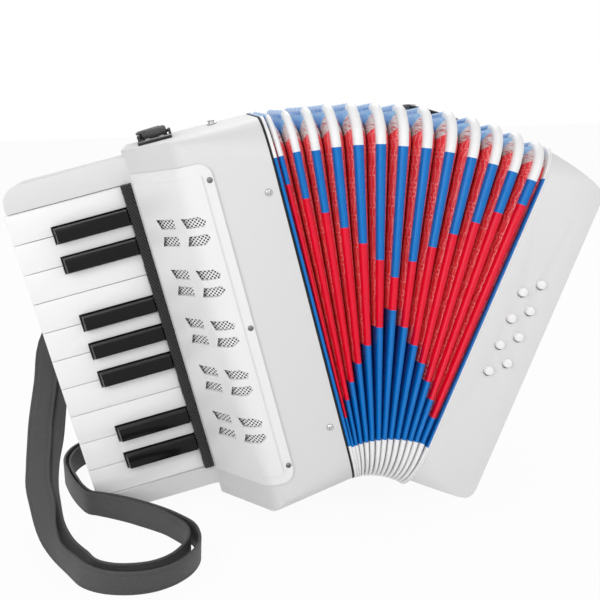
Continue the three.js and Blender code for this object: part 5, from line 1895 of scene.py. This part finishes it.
@dataclass
class HandStrap:
    """The stiff strap on the bass end that the left hand slides under."""

    near: float = 96.0
    bulge: float = 22.0
    low: float = 36.0
    high: float = 221.0
    foot: float = 12.0
    shoulder_drop: float = 3.4
    shoulder_at: float = 2.1
    middle_y: float = 86.0
    steps: int = 14
    rivet_inset: float = 6.0
    rivet_reach: float = 13.0
    section: BandSection = BandSection(44.0, 2.4, 3.2, 0.35)

    def route(self) -> list[tuple[float, float]]:
        """Returns the strap's middle line as local X and Z, from low to high."""
        base = self.near + self.section.thickness / 2.0
        crown = base + self.bulge
        middle = (self.low + self.high) / 2.0
        corners = [Vector((base, self.low + self.foot)),
                   Vector((crown - self.shoulder_drop, self.low + self.foot * self.shoulder_at)),
                   Vector((crown, middle - self.foot * 2.0)), Vector((crown, middle))]
        lower = [(base, self.low), (base, self.low + self.foot * 0.5)]
        for step in range(self.steps + 1):
            t = step / self.steps
            spot = (corners[0] * (1 - t) ** 3 + corners[1] * 3 * t * (1 - t) ** 2
                    + corners[2] * 3 * t ** 2 * (1 - t) + corners[3] * t ** 3)
            lower.append((spot.x, spot.y))
        return lower + [(x, 2.0 * middle - z) for x, z in reversed(lower[:-1])]

    def build(self, layout: Layout) -> None:
        """Makes the strap with its rivets and hangs it on the bass end.

        Args:
            layout: The frames.
        """
        route = self.route()
        centres = [layout.bass.point(x, self.middle_y, z) for x, z in route]
        side = layout.bass.direction(0.0, 1.0, 0.0)
        piece = Band("hand_band", self.section, SMOOTH_LEATHER).build(centres, [side] * len(centres), False)
        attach(piece, "bass")
        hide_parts("hand_strap")
        rivet = DomeHead(3.2, 1.5, PLATED, Recess.NONE)
        face = self.near + self.section.thickness
        sides = (self.middle_y - self.rivet_reach, self.middle_y + self.rivet_reach)
        for end, z in (("low", self.low + self.rivet_inset), ("high", self.high - self.rivet_inset)):
            rivet.row(f"hand_rivet_{end}", layout.bass, "bass", (1.0, 0.0, 0.0),
                      [(face, y, z) for y in sides])
        log.info("made the hand strap")


@dataclass
class ClosureStrap:
    """The short strap on the bass end that snaps over the closed bellows.

    Beyond the ribs, each place is a local X of the bass end and how far the strap has dropped there.
    """

    first_rib: int = 7
    level: float = 262.4
    back: float = 100.0
    bass_places: tuple[tuple[float, float], ...] = ((52.0, 0.0), (53.4, 0.0), (74.55, 9.95))
    swing_from: float = -60.0
    swing_to: float = 53.4
    snap_reach: float = 5.0
    snap_lift: float = 0.9
    rivet_reach: float = 6.0
    rivet_at: tuple[float, float] = (71.0, 251.0)
    rivet_out: tuple[float, float, float] = (0.42, 0.0, 0.91)
    steps: int = 4
    section: BandSection = BandSection(24.0, 1.8, 2.2, 0.25)

    def build(self, layout: Layout, ribs: RibTapes) -> None:
        """Makes the strap and its snap.

        Args:
            layout: The frames.
            ribs: The rib tapes that it lies on.
        """
        spots = [(layout.ribs[order], ribs.plane(order), 0.0) for order in range(self.first_rib, RIB_COUNT)]
        spots += [(layout.bass, x, drop) for x, drop in self.bass_places]
        places = [place.point(x, self.back, self.level - drop) for place, x, drop in spots]
        sides = [place.direction(0.0, 1.0, 0.0) for place, _, _ in spots]
        piece = Band("closure_band", self.section, SMOOTH_LEATHER).build(
            smooth_route(places, self.steps, False), smooth_route(sides, self.steps, False), False)
        first, plane, _ = spots[0]
        tip = DomeHead(5.2, 2.2, PLATED, Recess.NONE).mesh_at(
            "closure_snap", first, (plane + self.snap_reach, self.back, self.level + self.snap_lift),
            (0.0, 0.0, 1.0))
        start = first.point(self.swing_from, self.back, self.level)
        end = layout.bass.point(self.swing_to, self.back, self.level)
        for soft in (piece, tip):
            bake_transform(soft)
        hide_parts("closure_strap")
        x, z = self.rivet_at
        DomeHead(2.2, 1.0, PLATED, Recess.NONE).row(
            "closure_rivet", layout.bass, "bass", self.rivet_out,
            [(x, self.back - self.rivet_reach, z), (x, self.back + self.rivet_reach, z)])
        log.info("made the closure strap")


# Screws, rivets and buttons.


class Recess(Enum):
    """What is cut into a screw's head."""

    NONE = "none"
    CROSS = "cross"


@dataclass(frozen=True)
class DomeHead:
    """A domed screw or rivet head."""

    radius: float
    rise: float
    finish: Finish
    recess: Recess = Recess.CROSS
    rings: int = 11
    seat: float = 0.25
    recess_reach: float = 0.62
    recess_half: float = 0.15
    recess_depth: float = 0.5

    def mesh_at(self, name: str, place: Place, spot: Sequence[float],
                out: Sequence[float]) -> bpy.types.Object:
        """Makes the head on a surface.

        Args:
            name: The piece's name.
            place: The frame that the spot is in.
            spot: The middle of the head's seat, in local millimetres.
            out: The local direction away from the surface.

        Returns:
            The new object.
        """
        lathe = Lathe(place.point(*spot), place.direction(*out), 32)

        def level(share: float, x: float, y: float) -> float:
            """Returns the height at a share of the radius, in the direction x and y."""
            dome = self.rise * math.sqrt(max(1.0 - share ** 2, 0.0)) if share < 1.0 else 0.0
            cut = share < self.recess_reach and share * min(abs(x), abs(y)) < self.recess_half
            return dome - self.rise * self.recess_depth if self.recess is Recess.CROSS and cut else dome

        rings = [lathe.ring(self.radius, lambda x, y: -self.seat)]
        for order in range(self.rings):
            share = 1.0 - order / self.rings
            rings.append(lathe.ring(share * self.radius, lambda x, y: level(share, x, y)))
        return lathe.piece(name, rings, self.finish, (0.0004, 0.0003))

    def row(self, name: str, place: Place, body: str, out: Sequence[float],
            spots: Sequence[Sequence[float]]) -> None:
        """Makes several equal heads and hangs them on a body.

        Args:
            name: The pieces' name, before their number.
            place: The frame that the spots are in.
            body: The body's name.
            out: The local direction away from the surface.
            spots: The middles of the heads' seats, in local millimetres.
        """
        for number, spot in enumerate(spots):
            piece = self.mesh_at(f"{name}_{number + 1}", place, spot, out)
            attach(piece, body)


@dataclass
class Fixings:
    """The screws and pins on the shells, the covers and the brackets."""

    front_spots: tuple = ((-7.0, 0.0, 50.0), (-7.0, 0.0, 212.0))
    grille_spots: tuple = ((-40.5, -2.0, 33.0), (-40.5, -2.0, 131.0), (-40.5, -2.0, 229.0))
    pin_spots: tuple = ((-86.3, 51.5, 27.5), (-86.3, 51.5, 235.0))
    pin_out: tuple = (-0.8623, -0.5064, 0.0)
    treble_cover_spots: tuple = ((-77.0, CASING_DEPTH, 44.0), (-15.0, CASING_DEPTH, 44.0),
                                 (-77.0, CASING_DEPTH, 213.0), (-15.0, CASING_DEPTH, 213.0))
    bass_cover_spots: tuple = ((63.5, CASING_DEPTH, 49.0), (63.5, CASING_DEPTH, 132.0),
                               (63.5, CASING_DEPTH, 209.0))
    upper_bracket_spots: tuple = ((-73.0, 70.0, 259.1), (-63.0, 70.0, 259.1))
    lower_bracket_spots: tuple = ((-62.0, 152.1, 18.0), (-62.0, 152.1, 28.0))

    def build(self, layout: Layout) -> None:
        """Makes all the heads.

        Args:
            layout: The frames.
        """
        treble, bass = layout.treble, layout.bass
        front, back, up = (0.0, -1.0, 0.0), (0.0, 1.0, 0.0), (0.0, 0.0, 1.0)
        bracket_screw = DomeHead(2.0, 1.0, DULL_STEEL)
        DomeHead(2.5, 1.6, PLATED).row("front_screw", treble, "treble", front, self.front_spots)
        DomeHead(1.9, 1.0, DULL_STEEL).row("grille_screw", treble, "treble", front, self.grille_spots)
        DomeHead(1.3, 0.6, COVER, Recess.NONE).row("grille_pin", treble, "treble", self.pin_out,
                                                   self.pin_spots)
        DomeHead(2.6, 1.3, DULL_STEEL).row("treble_cover_screw", treble, "treble", back,
                                           self.treble_cover_spots)
        DomeHead(2.4, 1.2, DULL_STEEL).row("bass_cover_screw", bass, "bass", back, self.bass_cover_spots)
        bracket_screw.row("upper_bracket_screw", treble, "treble", up, self.upper_bracket_spots)
        bracket_screw.row("lower_bracket_screw", treble, "treble", back, self.lower_bracket_spots)
        log.info("made the screws and pins")


@dataclass(frozen=True)
class PushButton:
    """A round push button with a domed cap, its flange behind the wall and its stem."""

    node: str
    radius: float
    rise: float
    stem: float
    out: tuple[float, float, float]
    wall: float = 3.0
    wall_gap: float = 0.3
    stem_radius: float = 1.4
    flange: float = 1.3

    def profile(self) -> list[tuple[float, float]]:
        """Returns the turned outline as radius and level, from the stem's foot to the crown."""
        back = -self.wall - self.wall_gap
        rim = self.radius + self.flange
        points = [(self.stem_radius, -self.stem - self.wall), (self.stem_radius, back - self.flange),
                  (rim, back - self.flange), (rim, back), (self.radius, back),
                  (self.radius, self.rise * 0.62)]
        for step in range(1, 7):
            angle = math.radians(90.0 * step / 6.0)
            points.append((self.radius * (0.72 + 0.28 * math.cos(angle)) - 0.02,
                           self.rise * (0.62 + 0.3 * math.sin(angle))))
        points += [(self.radius * 0.45, self.rise * 0.975), (self.radius * 0.15, self.rise)]
        return points

    def build(self, place: Place) -> None:
        """Makes the button where its solid is.

        Args:
            place: The bass end's frame.
        """
        low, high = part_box(self.node)
        up = place.direction(*self.out)
        length = self.stem + self.wall + self.rise
        centre = (low + high) / 2.0 + up * (self.stem + self.wall - length / 2.0) * MM
        lathe = Lathe(centre, up, 40)
        rings = [lathe.ring(radius, lambda x, y: level) for radius, level in self.profile()]
        piece = lathe.piece(f"{self.node}_cap", rings, BUTTON, (0.0005, 0.0006))
        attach(piece, self.node)
        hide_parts(self.node)


@dataclass
class ButtonBoard:
    """The eight bass buttons and the air button."""

    radius: float = 3.1
    rise: float = 4.0
    stem: float = 18.0
    air_radius: float = 5.0
    air_stem: float = 9.0

    def build(self, layout: Layout) -> None:
        """Makes the buttons.

        Args:
            layout: The frames.
        """
        for column in "ab":
            for row in range(1, 5):
                PushButton(f"bass_button_{column}{row}", self.radius, self.rise, self.stem,
                           (0.0, -1.0, 0.0)).build(layout.bass)
        PushButton("air_button", self.air_radius, self.rise, self.air_stem,
                   (1.0, 0.0, 0.0)).build(layout.bass)
        log.info("made nine buttons")


# Hard shells and keys.


@dataclass
class HardParts:
    """The solids that are shown as they are, with softened edges and their finishes."""

    casing_edge: float = 2.2
    key_edge: float = 0.7
    black_key_edge: float = 1.0

    def dresses(self) -> list[SolidDress]:
        """Returns how each solid is dressed."""
        found = [
            SolidDress("treble_casing", CASING, self.casing_edge, 3, joined=False),
            SolidDress("bass_casing", CASING, self.casing_edge, 3),
            SolidDress("treble_back_cover", CASING, 0.0, joined=False),
            SolidDress("bass_back_cover", CASING, 0.0, joined=False),
            SolidDress("grille_cover", COVER, 0.0, joined=False),
            SolidDress("grille_mesh", MESH, 0.0, joined=False),
            SolidDress("keyboard_bed", WOOD, 0.4),
            SolidDress("key_axle", PLATED, 0.2),
            SolidDress("key_felt_strip", FELT, 0.8, 2),
            SolidDress("treble_reed_block", WOOD, 0.5),
            SolidDress("bass_reed_block", WOOD, 0.5),
            # The black seal is partly painted shadow at the bellows' edge.
            SolidDress("bellows_gasket", SEAL_FOAM_AND_SHADOW, 0.3),
            SolidDress("strap_bracket_upper", LACQUER, 0.4),
            SolidDress("strap_bracket_lower", LACQUER, 0.4),
            SolidDress("snap_stud", PLATED, 0.3, 2),
        ]
        found += [SolidDress(f"white_key_{order:02d}", WHITE_KEY, self.key_edge, 3)
                  for order in range(1, 11)]
        found += [SolidDress(f"black_key_{order}", BLACK_KEY, self.black_key_edge, 3)
                  for order in range(1, 8)]
        return found

    def build(self, solids: dict) -> None:
        """Dresses the solids.

        Args:
            solids: The frame's objects by node name.
        """
        for dress in self.dresses():
            dress.apply(solids)


# Studio.


@dataclass(frozen=True)
class SoftLamp:
    """A square lamp, with its place and width in metres and its power in watts."""

    name: str
    place: tuple[float, float, float]
    size: float
    power: float

    def hang(self, target: Vector) -> None:
        """Hangs the lamp so that it faces the instrument.

        Args:
            target: The point that it faces, in metres.
        """
        data = bpy.data.lights.new(self.name, "AREA")
        data.size, data.energy = self.size, self.power
        lamp = bpy.data.objects.new(self.name, data)
        lamp.location = self.place
        lamp.rotation_euler = (target - Vector(self.place)).to_track_quat("-Z", "Y").to_euler()
        bpy.context.scene.collection.objects.link(lamp)


@dataclass
class Studio:
    """The white room, its lamps and the camera."""

    lens: float = 56.73
    sensor: float = 36.0
    clip_start: float = 0.01
    place: tuple[float, float, float] = (-0.08641, -0.64457, 0.2971)
    forward: tuple[float, float, float] = (0.1243, 0.968, -0.2179)
    right: tuple[float, float, float] = (0.9909, -0.1326, -0.024)
    lamps: tuple[SoftLamp, ...] = (SoftLamp("key_lamp", (0.6, -1.5, 1.15), 1.1, 5.4),
                                   SoftLamp("fill_lamp", (-0.95, -1.35, 0.8), 1.1, 9.0),
                                   SoftLamp("back_lamp", (0.2, 1.3, 1.2), 1.0, 5.0))
    target: tuple[float, float, float] = (0.0, 0.0, 0.14)
    surround: float = 0.58
    floor_reach: float = 6.0
    floor_shadow: float = 0.06

    def build(self) -> None:
        """Makes the camera, the surround, the lamps and the floor."""
        self.camera()
        self.world()
        for lamp in self.lamps:
            lamp.hang(Vector(self.target))
        self.floor()
        bpy.context.scene.view_settings.view_transform = "Standard"
        log.info("set up the studio")

    def camera(self) -> None:
        """Sets the camera where the photograph was taken from."""
        data = bpy.data.cameras.new("front_camera")
        data.lens, data.sensor_width, data.sensor_fit = self.lens, self.sensor, "HORIZONTAL"
        data.clip_start = self.clip_start
        camera = bpy.data.objects.new("front_camera", data)
        back, right = -Vector(self.forward).normalized(), Vector(self.right).normalized()
        turn = Matrix((right, back.cross(right), back)).transposed().to_4x4()
        camera.matrix_world = Matrix.Translation(self.place) @ turn
        bpy.context.scene.collection.objects.link(camera)
        bpy.context.scene.camera = camera

    def world(self) -> None:
        """Lights the room evenly, and shows it white to the camera and to mirrors."""
        world = bpy.data.worlds.new("white_room")
        world.use_nodes = True
        world.node_tree.nodes.clear()
        canvas = Canvas(world.node_tree)
        level = canvas.remap(canvas.seen(), 0.0, 1.0, self.surround, 1.0)
        light = canvas.add("ShaderNodeBackground", {"Color": WHITE_LIGHT, "Strength": level})
        canvas.add("ShaderNodeOutputWorld", {"Surface": light.outputs[0]})
        bpy.context.scene.world = world

    def floor(self) -> None:
        """Lays a white floor that keeps a faint shadow."""
        mesh = bpy.data.meshes.new("floor")
        corners = ((-1.0, -1.0), (1.0, -1.0), (1.0, 1.0), (-1.0, 1.0))
        mesh.from_pydata([(x * self.floor_reach, y * self.floor_reach, 0.0) for x, y in corners],
                         [], [(0, 1, 2, 3)])
        material = bpy.data.materials.new("white_floor")
        material.use_nodes = True
        material.node_tree.nodes.clear()
        canvas = Canvas(material.node_tree)
        cloth = canvas.add("ShaderNodeBsdfDiffuse", {"Color": grey(245)})
        glow = canvas.add("ShaderNodeEmission", {"Color": WHITE_LIGHT, "Strength": 1.0})
        share = canvas.times(canvas.seen(), 1.0 - self.floor_shadow)
        mixed = canvas.add("ShaderNodeMixShader", {0: share, 1: cloth.outputs[0], 2: glow.outputs[0]})
        canvas.add("ShaderNodeOutputMaterial", {"Surface": mixed.outputs[0]})
        mesh.materials.append(material)
        floor = bpy.data.objects.new("floor", mesh)
        bpy.context.scene.collection.objects.link(floor)


def main() -> None:
    """Builds every sub-assembly in order."""
    logging.basicConfig(level=logging.INFO, format="%(name)s: %(message)s")
    layout = Layout.from_joints(frame["record"]["behaviour"])
    HardParts().build(frame["nodes"])
    ribs = RibTapes()
    ribs.build(layout)
    Folds(ribs).build(layout)
    ShadeSheet().build(layout)
    BellowsEnds().build(layout)
    ShoulderStrap().build()
    HandStrap().build(layout)
    ClosureStrap().build(layout, ribs)
    ButtonBoard().build(layout)
    Fixings().build(layout)
    Studio().build()
    log.info("kept the sizes")


if __name__ == "__main__":
    main()
